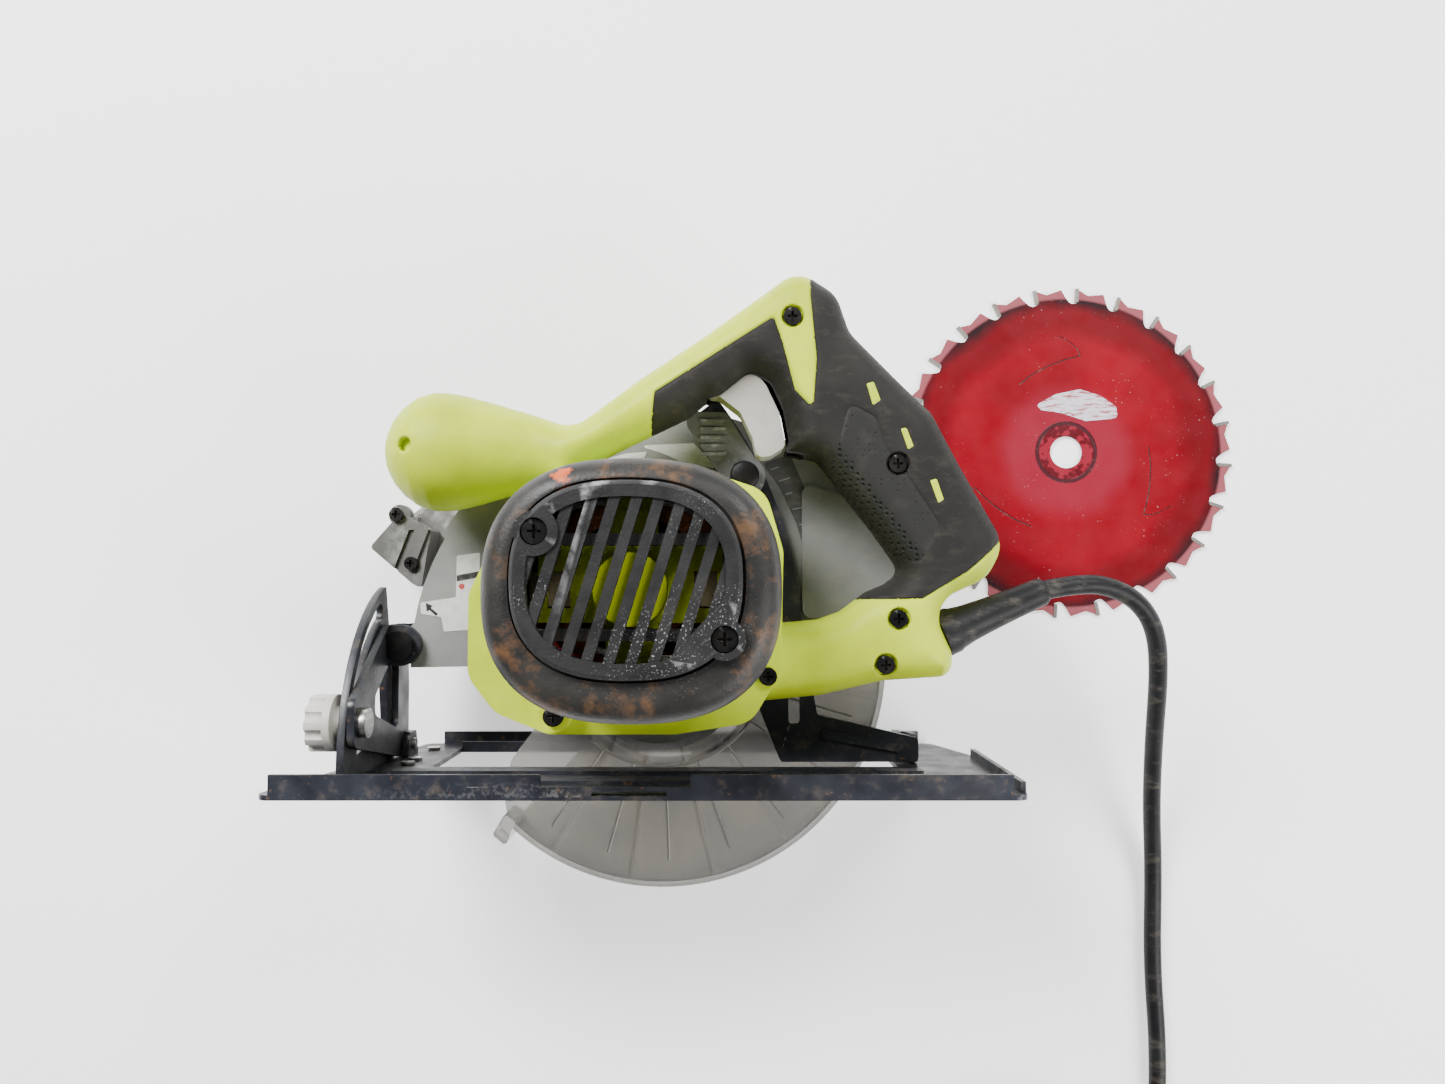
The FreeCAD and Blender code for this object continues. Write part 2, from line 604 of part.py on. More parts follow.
def build_upper_guard():
    low = UPPER_GUARD_Z[0]
    high = UPPER_GUARD_Z[1]
    rim = sector(UPPER_GUARD_R - 3, UPPER_GUARD_R, UPPER_START, UPPER_END, low, high)
    near_wall = sector(30, UPPER_GUARD_R - 1, UPPER_START, UPPER_END, high - 3, high)
    far_wall = sector(62, UPPER_GUARD_R - 1, UPPER_START, UPPER_END, low, low + 2.5)
    hub = rod(38, high - 3, high)
    guard = fuse([rim, near_wall, far_wall, hub])
    lip = sector(UPPER_GUARD_R - 1, UPPER_GUARD_R + 1.6, UPPER_START, UPPER_END, low, low + 4)
    band = sector(UPPER_GUARD_R - 1, UPPER_GUARD_R + 2, 20, 150, high - 4, high)
    tail = prism([(62, 20), (62, 80), (86, 72), (104, 46), (110, 20)], high, high + 2.5, 4)
    lug = rod(PIVOT_LUG_R, 41, high, PIVOT_X, PIVOT_Y)
    web = prism([(-114, 2), (-112, 15), (-100, 30), (-96, 3)], 44, high)
    guard = fuse([guard, lip, band, tail, lug, web])
    guard = guard.cut(rod(4.05, 30, 70, PIVOT_X, PIVOT_Y))
    guard = guard.cut(rod(10.5, 36, 41, PIVOT_X, PIVOT_Y))
    guard = guard.cut(rod(HUB_R, 40, 70))
    guard = guard.cut(rod(4.1, 50, 70, DEPTH_BOLT_X, DEPTH_BOLT_Y))
    guard = guard.cut(rod(UPPER_GUARD_R - 3, low + 2.5, high - 3))
    chute = prism([(70, 62), (86, 90), (104, 78), (96, 48)], 0.0, low, 6)
    dust_way = [(74, 64), (87, 86), (100, 77), (93, 53)]
    chute = chute.cut(prism(dust_way, 3, low + 1, 4))
    guard = guard.cut(prism(dust_way, low - 1, low + 3, 4))
    chute = chute.cut(prism([(84, 84), (100, 74), (112, 88), (92, 104)], 4, low - 4))
    keep("dust_chute", largest(chute))
    keep("upper_guard", largest(guard))


LASER_OUTLINE = [(-136, 52), (-122, 68), (-84, 96), (-72, 84), (-92, 52), (-109, 31)]


def build_laser():
    body = prism(LASER_OUTLINE, 0, UPPER_GUARD_Z[0], 3)
    front = prism([(-136, 52), (-122, 68), (-108, 60), (-112, 33), (-116, 35)], 0, 40, 2)
    front = front.cut(rod(UPPER_GUARD_R + 2.2, 0.0, 60))
    ear = rod(5, 30, 36, -123.5, 67).fuse(block((-123, 58, 30), (-115, 66, 36)))
    housing = fuse([body, front, ear])
    housing = housing.cut(rod(1.8, 0, 60, -123.5, 67))
    housing = housing.cut(rod(1.6, 30, 60, -116.5, 44.5))
    housing = housing.cut(rod_x(3.6, -140, -126, 45, 12))
    for shift in (0, 9):
        groove = prism([(-118 + shift, 60), (-115.5 + shift, 60), (-123 + shift, 40),
                        (-125.5 + shift, 40)], 38.5, 41)
        housing = housing.cut(groove)
    keep("laser_housing", largest(housing))
    keep("laser_lens", rod_x(3.5, -130, -126, 45, 12))
    keep("laser_screws", Part.makeCompound([
        pan_screw(-123.5, 67, 42.4, 3.2, 6), pan_screw(-116.5, 44.5, 42.4, 3.0, 3)]))


LOWER_START = 227.0
LOWER_END = 372.0


def build_lower_guard():
    low = LOWER_GUARD_Z[0]
    high = LOWER_GUARD_Z[1]
    wall = 2.0
    rim = sector(LOWER_GUARD_R - wall, LOWER_GUARD_R, LOWER_START, LOWER_END, low, high)
    near = sector(26, LOWER_GUARD_R - 1, LOWER_START, LOWER_END, high - wall, high)
    far = sector(46, LOWER_GUARD_R - 1, LOWER_START, LOWER_END, low, low + wall)
    front = prism([(-24, -14), (-50, -20), (-68, -44), (-70.5, -62), (-68.5, -73), (-20, -26)],
                  high - wall, high, 4)
    hub = ring(29, HUB_R + 0.05, high - wall, high + 2)
    lip_outline = [(-66, -71), (-71, -68), (-76, -77), (-70, -82)]
    lip = prism(lip_outline, low, high, 1.5)
    guard = fuse([rim, near, far, front, hub, lip])
    ribs = []
    for angle in (240, 262, 284, 306, 328, 350):
        rib = block((28, -0.7, high), (LOWER_GUARD_R - 3, 0.7, high + 1.2))
        rib.rotate(vec(0, 0, 0), vec(0, 0, 1), angle)
        ribs.append(rib)
    ribs.append(sector(45.8, 47.4, LOWER_START, LOWER_END, high, high + 1.2))
    guard = fuse([guard] + ribs).cut(rod(HUB_R + 0.05, 40, 60))
    keep("lower_guard", largest(guard))
    retainer = ring(24, 8.5, 45.3, 46.5)
    keep("guard_retainer", retainer)
    turns = [Part.makeTorus(23.2, SPRING_WIRE_R, vec(0, 0, 54.3 + 0.9 * turn))
             for turn in range(3)]
    keep("guard_spring", fuse(turns + [block((22.9, -6, 54.0), (23.8, 0, 56.4))]))


# ---- depth and bevel adjustment -----------------------------------------------------
def build_adjusters():
    bolt_out = math.hypot(DEPTH_BOLT_X - PIVOT_X, DEPTH_BOLT_Y - PIVOT_Y)
    bolt_angle = math.degrees(math.atan2(DEPTH_BOLT_Y - PIVOT_Y, DEPTH_BOLT_X - PIVOT_X))
    plate = sector(bolt_out - 8.5, bolt_out + 8.5, -8, bolt_angle + 12, 63.5, 66.5,
                   PIVOT_X, PIVOT_Y)
    foot = prism([(40, -12), (66, -10), (68, -22), (112, -32), (112, -42.3), (52, -42.3)],
                 63.5, 66.5, 2)
    tab = prism_x([(-43, 33), (-33, 33), (-30, 66.5), (-43, 66.5)], 109, 112, 5)
    rib = prism([(70, -28), (104, -35), (104, -38), (70, -32)], 66.5, 68, 1)
    bracket = fuse([plate, foot, tab, rib])
    bracket = bracket.cut(arc_slot(bolt_out, 4.15, bolt_angle - 6.5, bolt_angle + 9, 60, 70,
                                   PIVOT_X, PIVOT_Y))
    bracket = bracket.cut(prism([(55.5, -13), (60.5, -13), (60.5, -26), (55.5, -26)],
                                60, 70, 2))
    bracket = bracket.cut(rod_x(2.75, 100, 120, HINGE_Y, BLADE_PLANE))
    keep("depth_bracket", bracket)
    bolt = fuse([rod(4, 54, 80, DEPTH_BOLT_X, DEPTH_BOLT_Y),
                 rod(7.5, 54, 57, DEPTH_BOLT_X, DEPTH_BOLT_Y)])
    keep("depth_bolt", bolt)
    x = DEPTH_BOLT_X
    y = DEPTH_BOLT_Y
    arm = prism([(x - 7, y - 5), (x - 26, y + 24), (x - 22, y + 28), (x - 8, y + 28), (x + 7, y + 4)],
                68, 74, 4)
    grip_ribs = []
    for number in range(5):
        low = y + 9 + number * 3.6
        grip_ribs.append(block((x - 19, low, 73), (x - 8, low + 1.4, 75)))
    lever = fuse([arm, rod(9, 67.5, 74.6, x, y), rod(6, 67.5, 78, x, y)] + grip_ribs)
    lever = lever.cut(rod(4.05, 60, 90, x, y))
    keep("depth_lever", lever)

    knob_y = HINGE_Y + KNOB_RADIUS_OUT * math.sin(math.radians(KNOB_ANGLE))
    knob_z = BLADE_PLANE + KNOB_RADIUS_OUT * math.cos(math.radians(KNOB_ANGLE))
    web = prism_x([(-43, 33), (-43, 46), (knob_y - 9, knob_z + 8), (knob_y + 9, knob_z + 8),
                   (17, 66), (17, 36), (-10, 33)], -122, -119, 5)
    window = prism_x([(-30, 50), (-20, 84), (-12, 84), (2, 62), (0, 50)], -125, -116, 4)
    ears = [hull_of_circles([(PIVOT_X, PIVOT_Y, 9), (-119, PIVOT_Y, 8.8)], z_low, z_high)
            for z_low, z_high in ((36.5, 40.5), (60.5, 64.5))]
    yoke = fuse([web.cut(window)] + ears)
    yoke = yoke.cut(rod(4.05, 30, 70, PIVOT_X, PIVOT_Y))
    yoke = yoke.cut(rod(PIVOT_LUG_R + 1.1, 40.5, 60.5, PIVOT_X, PIVOT_Y))
    yoke = yoke.cut(rod(6.8, 66, 69.5, PIVOT_X, PIVOT_Y))
    yoke = yoke.cut(rod_x(3.5, -130, -110, knob_y, knob_z))
    yoke = yoke.cut(rod_x(2.75, -130, -110, HINGE_Y, BLADE_PLANE))
    yoke = yoke.cut(block((-130, -60, 0), (-122, 60, 120)))
    keep("front_yoke", yoke)
    pin = fuse([rod(4, 36.5, 66.5, PIVOT_X, PIVOT_Y), rod(6.5, 66.5, 69, PIVOT_X, PIVOT_Y)])
    keep("pivot_pin", pin)
    knob = rod_x(11.5, -138, -128, knob_y, knob_z)
    for number in range(10):
        angle = number * 36
        groove_y = knob_y + 12.4 * math.cos(math.radians(angle))
        groove_z = knob_z + 12.4 * math.sin(math.radians(angle))
        knob = knob.cut(rod_x(2.4, -139, -131, groove_y, groove_z))
    knob = fuse([knob, rod_x(7, -128, -125.6, knob_y, knob_z)])
    knob = knob.cut(rod_x(3.8, -137, -120, knob_y, knob_z))
    bolt_end = rod_x(3.5, -137, -119, knob_y, knob_z)
    keep("bevel_bolt", fuse([bolt_end, rod_x(6, -119, -115.5, knob_y, knob_z)]))
    keep("bevel_knob", knob)

    quadrant = sector(KNOB_RADIUS_OUT - 8.5, KNOB_RADIUS_OUT + 7.5, 16, 93.5, 0, 3)
    slot = arc_slot(KNOB_RADIUS_OUT, 3.7, 90 - KNOB_ANGLE - BEVEL_TRAVEL, 90 - KNOB_ANGLE, -1, 4)
    stem = prism([(-5.5, 6), (-5.5, 62), (3, 62), (9, 6)], 0, 3)
    brace = prism([(-5.5, 6), (-5.5, 14), (62, 26), (62, 18), (24, 6)], 0, 3)
    flat = fuse([quadrant, stem, brace]).cut(slot)
    placed = flat.copy()
    placed.transformShape(FreeCAD.Matrix(
        0, 0, 1, -125.5,
        1, 0, 0, HINGE_Y,
        0, 1, 0, BLADE_PLANE,
        0, 0, 0, 1))
    keep("bevel_quadrant", placed)


# ---- base ---------------------------------------------------------------------------
def build_base():
    top = SOLE_Y + SHEET
    outline = [(BASE_FRONT, BASE_WIDTH), (BASE_FRONT + 30, 0.0), (BASE_REAR - 12, 0.0),
               (BASE_REAR, 40.0), (BASE_REAR, BASE_WIDTH)]
    points = [vec(x, SOLE_Y, z) for x, z in outline]
    plate = Part.Face(rounded_wire(points, 5)).extrude(vec(0, SHEET, 0))
    opening = block((OPENING_X[0], SOLE_Y - 1, OPENING_Z[0]),
                    (OPENING_X[1], top + 1, OPENING_Z[1]))
    plate = plate.cut(opening)
    rims = []
    near_low = BASE_WIDTH - SHEET
    rims.append(block((BASE_FRONT + 6, SOLE_Y, near_low), (-41, SOLE_Y + 9.5, BASE_WIDTH)))
    rims.append(block((-41, SOLE_Y, near_low), (15, SOLE_Y + 5, BASE_WIDTH)))
    rims.append(block((15, SOLE_Y, near_low), (BASE_REAR - 6, SOLE_Y + 9.5, BASE_WIDTH)))
    rims.append(block((BASE_FRONT + 38, SOLE_Y, 0), (BASE_REAR - 18, SOLE_Y + 8, SHEET)))
    rims.append(block((BASE_REAR - SHEET, SOLE_Y, 46), (BASE_REAR, SOLE_Y + 6, BASE_WIDTH - 6)))
    rims.append(block((OPENING_X[0], SOLE_Y, OPENING_Z[0] - 1.5),
                      (OPENING_X[1], SOLE_Y + 5, OPENING_Z[0])))
    for low in (84, 108):
        rims.append(block((-110, top - 0.2, low), (110, top + 1.3, low + 7)))
    lugs = []
    for x_low, x_high in ((-118.4, -115.4), (105.4, 108.4)):
        lug = prism_x([(SOLE_Y + 1, 29), (HINGE_Y + 5.5, 33), (HINGE_Y + 5.5, 43),
                       (SOLE_Y + 1, 47)], x_low, x_high, 2)
        lugs.append(lug)
    base = fuse([plate] + rims + lugs)
    for x_low, x_high in ((-125, -110), (100, 115)):
        base = base.cut(rod_x(2.7, x_low, x_high, HINGE_Y, BLADE_PLANE))
    base = base.cut(block((-22, SOLE_Y + 1.5, near_low - 1), (6, SOLE_Y + 3.5, BASE_WIDTH + 1)))
    base = base.cut(block((112, SOLE_Y - 1, 112), (124, top + 3, 130)))
    for low in (84, 108):
        base = base.cut(block((-134, SOLE_Y - 1, low), (-118, top + 2, low + 4)))
    keep("base_plate", base)
    keep("hinge_pins", Part.makeCompound([
        rod_x(2.5, -122.5, -114, HINGE_Y, BLADE_PLANE),
        rod_x(2.5, 104, 113.5, HINGE_Y, BLADE_PLANE)]))
    rivets = []
    for z in (22, 54, 66):
        rivets.append(Part.makeCylinder(3, 1.4, vec(-110, top, z), vec(0, 1, 0)))
    keep("base_rivets", Part.makeCompound(rivets))


# ---- loose blade --------------------------------------------------------------------
def blade_slot(start):
    """A thin curved cut that lets the plate grow when hot, hooked at its outer end."""
    sweep = [(41.0, 0), (42.4, -12), (44.2, -24), (46.4, -34), (49.0, -43)]
    hook = [(49.0, -43), (52.0, -41), (55.0, -37), (58.5, -31)]
    outer = [on_circle(r + 0.35, start + a, BLADE_X, BLADE_Y) for r, a in sweep]
    inner = [on_circle(r - 0.35, start + a, BLADE_X, BLADE_Y) for r, a in reversed(sweep)]
    right = [on_circle(r, start + a - 0.4, BLADE_X, BLADE_Y) for r, a in hook]
    left = [on_circle(r, start + a + 0.4, BLADE_X, BLADE_Y) for r, a in reversed(hook)]
    return fuse([prism([(p.x, p.y) for p in outer + inner], -1, 5),
                 prism([(p.x, p.y) for p in right + left], -1, 5)])


def build_blade():
    step = 360.0 / BLADE_TEETH
    outline = []
    for tooth in range(BLADE_TEETH):
        angle = BLADE_PHASE - tooth * step
        turn = math.radians(angle)
        for along in (BLADE_R - 7.1, BLADE_R - 0.8):
            outline.append((BLADE_X + along * math.cos(turn) + TIP_WIDTH * math.sin(turn),
                            BLADE_Y + along * math.sin(turn) - TIP_WIDTH * math.cos(turn)))
        for drop, lag in ((3.1, 4.6), (1.0, 10.0), (4.3, 11.2), (6.9, 12.6), (7.9, 13.7),
                          (7.8, 14.7)):
            point = on_circle(BLADE_R - drop, angle - lag, BLADE_X, BLADE_Y)
            outline.append((point.x, point.y))
    z_low = (KERF - PLATE_THICK) / 2
    z_high = z_low + PLATE_THICK
    plate = prism(outline, z_low, z_high)
    plate = plate.cut(rod(BLADE_BORE_R, -1, 5, BLADE_X, BLADE_Y))
    plate = plate.cut(ring(15.3, 13.7, z_high - 0.2, 5, BLADE_X, BLADE_Y))
    for start in (124, 244, 4):
        plate = plate.cut(blade_slot(start))
    keep("saw_blade", largest(plate))
    tips = []
    for tooth in range(BLADE_TEETH):
        tip = block((BLADE_R - 6.9, -TIP_WIDTH, 0.0), (BLADE_R, 0.0, KERF))
        tip.rotate(vec(0, 0, 0), vec(0, 0, 1), BLADE_PHASE - tooth * step)
        tip.translate(vec(BLADE_X, BLADE_Y, 0))
        tips.append(tip)
    keep("blade_teeth", Part.makeCompound(tips))


# ---- cord ---------------------------------------------------------------------------
RELIEF_BASE = (116.7, 13.8, 92.0)
RELIEF_TIP = (160.8, 32.3, 90.0)
CORD_ROUTE = [
    (160.8, 32.3, 90.0), (177.0, 35.6, 88.8), (192.9, 33.2, 84.8), (206.2, 25.4, 78.6),
    (214.8, 12.8, 70.8), (220.0, -6.5, 58.5), (225.3, -36.0, 38.0), (231.0, -70.0, 18.5),
    (237.0, -106.0, 4.3), (235.5, -148.0, 4.3), (238.0, -190.0, 4.3), (236.0, -228.0, 4.3),
    (234.0, -256.0, 4.3)]
COIL_CENTRE = (188.0, -270.0)
COIL_HEIGHT = 25.0
TAIL_START = (176.0, -317.2, 18.0)


def relief_cone(extra):
    base = vec(*RELIEF_BASE)
    axis = vec(*RELIEF_TIP).sub(base)
    return Part.makeCone(10.0 + extra, 5.2 + extra, axis.Length, base, axis)


def corner_arc(before, corner, after):
    back = before.sub(corner)
    ahead = after.sub(corner)
    half_turn = (math.pi - back.getAngle(ahead)) / 2
    cut = 0.45 * min(back.Length, ahead.Length)
    radius = cut / math.tan(half_turn)
    back.normalize()
    ahead.normalize()
    bisector = back.add(ahead)
    bisector.normalize()
    first = corner.add(back * cut)
    last = corner.add(ahead * cut)
    middle = corner.add(bisector * (radius / math.cos(half_turn) - radius))
    return first, middle, last, radius


def build_cord():
    points = [vec(*p) for p in CORD_ROUTE]
    edges = []
    radii = []
    at = points[0]
    for i in range(1, len(points) - 1):
        first, middle, last, radius = corner_arc(points[i - 1], points[i], points[i + 1])
        edges.append(Part.LineSegment(at, first).toShape())
        edges.append(Part.Arc(first, middle, last).toShape())
        radii.append(round(radius, 1))
        at = last
    edges.append(Part.LineSegment(at, points[-1]).toShape())
    path = Part.Wire(edges)
    heading = points[1].sub(points[0])
    profile = Part.Wire(Part.makeCircle(CORD_R, points[0], heading))
    tube = path.makePipeShell([profile], True, False)
    keep("power_cord", tube, True)
    tail_start = vec(*TAIL_START)
    tail_run = vec(PLUG_AT[0] + PLUG_BACK, PLUG_AT[1], PLUG_AT[2]).sub(tail_start)
    tail = Part.makeCylinder(CORD_R, tail_run.Length, tail_start, tail_run)
    keep("cord_tail", tail, True)
    ideal = path.Length * math.pi * CORD_R ** 2
    print("cord radii", radii, "length", round(path.Length, 1),
          "volume ratio", round(tube.Volume / ideal, 4))
    x, y = COIL_CENTRE
    outer = COIL_MID_R + 2 * CORD_R
    inner = COIL_MID_R - 2 * CORD_R
    coil = ring(outer, inner, 0, COIL_HEIGHT, x, y)
    coil = coil.makeFillet(3.5, [e for e in coil.Edges if e.BoundBox.ZLength < 0.01])
    keep("cord_coil", coil, True)
    tie_x = x + COIL_MID_R
    tie = block((tie_x - 10.4, y - 5, 0.0), (tie_x + 10.4, y + 5, COIL_HEIGHT + 2))
    tie = tie.cut(block((tie_x - 8.6, y - 6, 0.3), (tie_x + 8.6, y + 6, COIL_HEIGHT + 0.4)))
    keep("cord_tie", tie, True)
    keep("strain_relief", relief_cone(0.0), True)


PLUG_AT = (128.0, -314.0, 9.3)
PLUG_BACK = 20.0
PLUG_HEADING = 180.0


def build_plug():
    body = prism([(-PLUG_BACK, -5), (-PLUG_BACK, 5), (-4, 10.5), (16, 12), (16, -12), (-4, -10.5)], -9, 9, 3)
    pins = []
    for side in (1, -1):
        pins.append(block((16, side * 6.35 - 0.75, -3.15), (33, side * 6.35 + 0.75, 3.15)))
    for shape in [body] + pins:
        shape.rotate(vec(0, 0, 0), vec(0, 0, 1), PLUG_HEADING)
        shape.translate(vec(*PLUG_AT))
    keep("plug_body", body, True)
    keep("plug_pins", Part.makeCompound(pins), True)


# ---- build, place and write ---------------------------------------------------------
build_handle()
build_grip()
build_handle_screws()
build_trigger()
build_housing()
build_end_cap()
build_armature()
build_stator()
build_gear_case()
build_spindle()
build_upper_guard()
build_laser()
build_lower_guard()
build_adjusters()
build_base()
build_blade()
build_cord()
build_plug()

whole = Part.makeCompound(list(parts.values())).BoundBox
shift = vec(-(whole.XMin + whole.XMax) / 2, -(whole.YMin + whole.YMax) / 2, 0.0)
os.makedirs("parts", exist_ok=True)
for name, shape in list(parts.items()) + list(cord_parts.items()):
    placed = shape.copy()
    placed.translate(shift)
    placed.exportStep("parts/" + name + ".step")
print("shift", round(shift.x, 3), round(shift.y, 3), "lowest", round(whole.ZMin, 3),
      "nodes", len(parts) + len(cord_parts))
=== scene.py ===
"""A corded circular saw lying on its side, with its blade taken off beside it."""
import json
import math

import bpy
import numpy as np
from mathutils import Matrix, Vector
from mathutils.geometry import delaunay_2d_cdt


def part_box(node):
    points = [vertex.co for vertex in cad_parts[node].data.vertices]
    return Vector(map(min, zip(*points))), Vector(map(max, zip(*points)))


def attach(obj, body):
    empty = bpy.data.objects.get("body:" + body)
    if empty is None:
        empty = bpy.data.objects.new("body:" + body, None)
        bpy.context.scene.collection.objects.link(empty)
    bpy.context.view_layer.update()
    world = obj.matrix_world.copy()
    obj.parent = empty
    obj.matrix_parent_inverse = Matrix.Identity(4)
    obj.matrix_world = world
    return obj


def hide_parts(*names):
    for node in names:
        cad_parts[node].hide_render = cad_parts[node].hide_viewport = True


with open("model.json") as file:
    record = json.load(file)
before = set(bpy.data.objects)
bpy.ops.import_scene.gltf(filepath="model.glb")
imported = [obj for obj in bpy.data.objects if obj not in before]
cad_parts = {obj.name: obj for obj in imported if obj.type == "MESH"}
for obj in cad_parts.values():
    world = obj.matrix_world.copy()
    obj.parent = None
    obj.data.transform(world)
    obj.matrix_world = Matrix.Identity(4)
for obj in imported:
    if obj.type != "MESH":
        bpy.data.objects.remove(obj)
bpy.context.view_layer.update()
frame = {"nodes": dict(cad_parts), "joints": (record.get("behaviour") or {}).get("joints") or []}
nodes = frame["nodes"]
joints = {joint["name"]: joint for joint in frame["joints"]}
SPINDLE = Vector(joints["spindle_spin"]["pos_m"])

# Every length below is in millimetres from the spindle's axis and from the floor,
# and place() turns it into metres in the shared frame.
HANDLE_MID = 93.0


def place(x, y, z=0.0):
    return Vector((SPINDLE.x + x / 1000, SPINDLE.y + y / 1000, z / 1000))


# ---- materials ----------------------------------------------------------------------
class Graph:
    """A short way to write a node material."""

    def __init__(self, name):
        self.material = bpy.data.materials.new(name)
        self.material.use_nodes = True
        self.tree = self.material.node_tree
        self.shader = self.tree.nodes["Principled BSDF"]
        self.coords = self.add("ShaderNodeTexCoord").outputs["Object"]

    def add(self, kind, **values):
        node = self.tree.nodes.new(kind)
        for key, value in values.items():
            setattr(node, key, value)
        return node

    def link(self, output, socket):
        self.tree.links.new(output, socket)

    def feed(self, socket, value):
        if isinstance(value, bpy.types.NodeSocket):
            self.link(value, socket)
        else:
            socket.default_value = value

    def noise(self, scale, detail=4.0, stretch=None, rough=0.55):
        node = self.add("ShaderNodeTexNoise")
        node.inputs["Scale"].default_value = scale
        node.inputs["Detail"].default_value = detail
        node.inputs["Roughness"].default_value = rough
        source = self.coords
        if stretch:
            mapping = self.add("ShaderNodeMapping")
            mapping.inputs["Scale"].default_value = stretch
            self.link(source, mapping.inputs["Vector"])
            source = mapping.outputs["Vector"]
        self.link(source, node.inputs["Vector"])
        return node.outputs["Fac"]

    def ramp(self, value, low, high, start=0.0, end=1.0):
        node = self.add("ShaderNodeMapRange", clamp=True)
        self.feed(node.inputs["Value"], value)
        node.inputs["From Min"].default_value = low
        node.inputs["From Max"].default_value = high
        node.inputs["To Min"].default_value = start
        node.inputs["To Max"].default_value = end
        return node.outputs["Result"]

    def maths(self, operation, a, b=0.0):
        node = self.add("ShaderNodeMath", operation=operation, use_clamp=False)
        self.feed(node.inputs[0], a)
        self.feed(node.inputs[1], b)
        return node.outputs[0]

    def mix(self, amount, first, second):
        node = self.add("ShaderNodeMix", data_type="RGBA")
        self.feed(node.inputs["Factor"], amount)
        for socket, colour in (("A", first), ("B", second)):
            target = [s for s in node.inputs if s.name == socket and s.type == "RGBA"][0]
            if isinstance(colour, bpy.types.NodeSocket):
                self.link(colour, target)
            else:
                target.default_value = (*colour, 1.0)
        return [s for s in node.outputs if s.type == "RGBA"][0]

    def edges(self, low=0.56, high=0.68):
        geometry = self.add("ShaderNodeNewGeometry")
        return self.ramp(geometry.outputs["Pointiness"], low, high)

    def hollows(self, low=0.49, high=0.42):
        geometry = self.add("ShaderNodeNewGeometry")
        return self.ramp(geometry.outputs["Pointiness"], low, high)

    def bump(self, height, strength, distance=0.0004):
        node = self.add("ShaderNodeBump")
        node.inputs["Strength"].default_value = strength
        node.inputs["Distance"].default_value = distance
        self.link(height, node.inputs["Height"])
        self.link(node.outputs["Normal"], self.shader.inputs["Normal"])

    def finish(self, colour, roughness, **uniform):
        self.feed_colour(colour)
        self.feed(self.shader.inputs["Roughness"], roughness)
        for key, value in uniform.items():
            self.shader.inputs[key.replace("_", " ")].default_value = value
        return self.material

    def feed_colour(self, colour):
        if isinstance(colour, bpy.types.NodeSocket):
            self.link(colour, self.shader.inputs["Base Color"])
        else:
            self.shader.inputs["Base Color"].default_value = (*colour, 1.0)


DUST = (0.36, 0.31, 0.24)


def plastic(name, colour, shade, rough=0.42, grain=2600, grain_depth=0.18, dust_and_shade=0.35,
            worn=None, metallic=0.0, shine=0.3):
    """Moulded plastic: a fine spark texture, uneven colour, dust, painted shade in the hollows and
    rubbed edges.
    """
    g = Graph(name)
    cloud = g.noise(38, 5)
    tone = g.mix(g.ramp(cloud, 0.40, 0.66), colour, shade)
    smear = g.noise(90, 8, (1.0, 2.2, 1.0), 0.7)
    grime = g.maths("MULTIPLY", g.ramp(smear, 0.52, 0.74), dust_and_shade)
    tone = g.mix(grime, tone, DUST)
    # Painted shade: concave hollows are darkened toward near black, partly dirt; the same amount
    # also sets the dust.
    tone = g.mix(g.maths("MULTIPLY", g.hollows(), dust_and_shade), tone, (0.05, 0.045, 0.035))
    speck = g.ramp(g.noise(1500, 2), 0.70, 0.76, 0.0, 0.35)
    tone = g.mix(speck, tone, tuple(0.45 * c for c in shade))
    if worn:
        rub = g.maths("MULTIPLY", g.edges(), g.ramp(g.noise(260, 6), 0.42, 0.62))
        tone = g.mix(rub, tone, worn)
    g.bump(g.noise(grain, 3), grain_depth)
    return g.finish(tone, g.ramp(smear, 0.3, 0.8, rough - 0.08, rough + 0.16),
                    Metallic=metallic, Specular_IOR_Level=shine)


def metal(name, colour, rough=0.35, streak=(1, 1, 1), rust=0.0, grain=900, wear=0.0):
    """Bare or oiled metal with machining marks, stains and a little rust."""
    g = Graph(name)
    marks = g.noise(grain, 5, streak, 0.65)
    tone = g.mix(g.ramp(marks, 0.35, 0.7), colour, tuple(0.62 * c for c in colour))
    stain = g.ramp(g.noise(70, 7), 0.5, 0.72)
    tone = g.mix(g.maths("MULTIPLY", stain, 0.35), tone, (0.10, 0.085, 0.07))
    if rust:
        patch = g.maths("MULTIPLY", g.ramp(g.noise(160, 9), 0.56, 0.68), rust)
        tone = g.mix(patch, tone, (0.22, 0.08, 0.03))
    if wear:
        rub = g.maths("MULTIPLY", g.edges(), wear)
        tone = g.mix(rub, tone, (0.75, 0.75, 0.76))
    g.bump(marks, 0.12)
    return g.finish(tone, g.ramp(marks, 0.3, 0.75, rough - 0.1, rough + 0.15), Metallic=1.0)


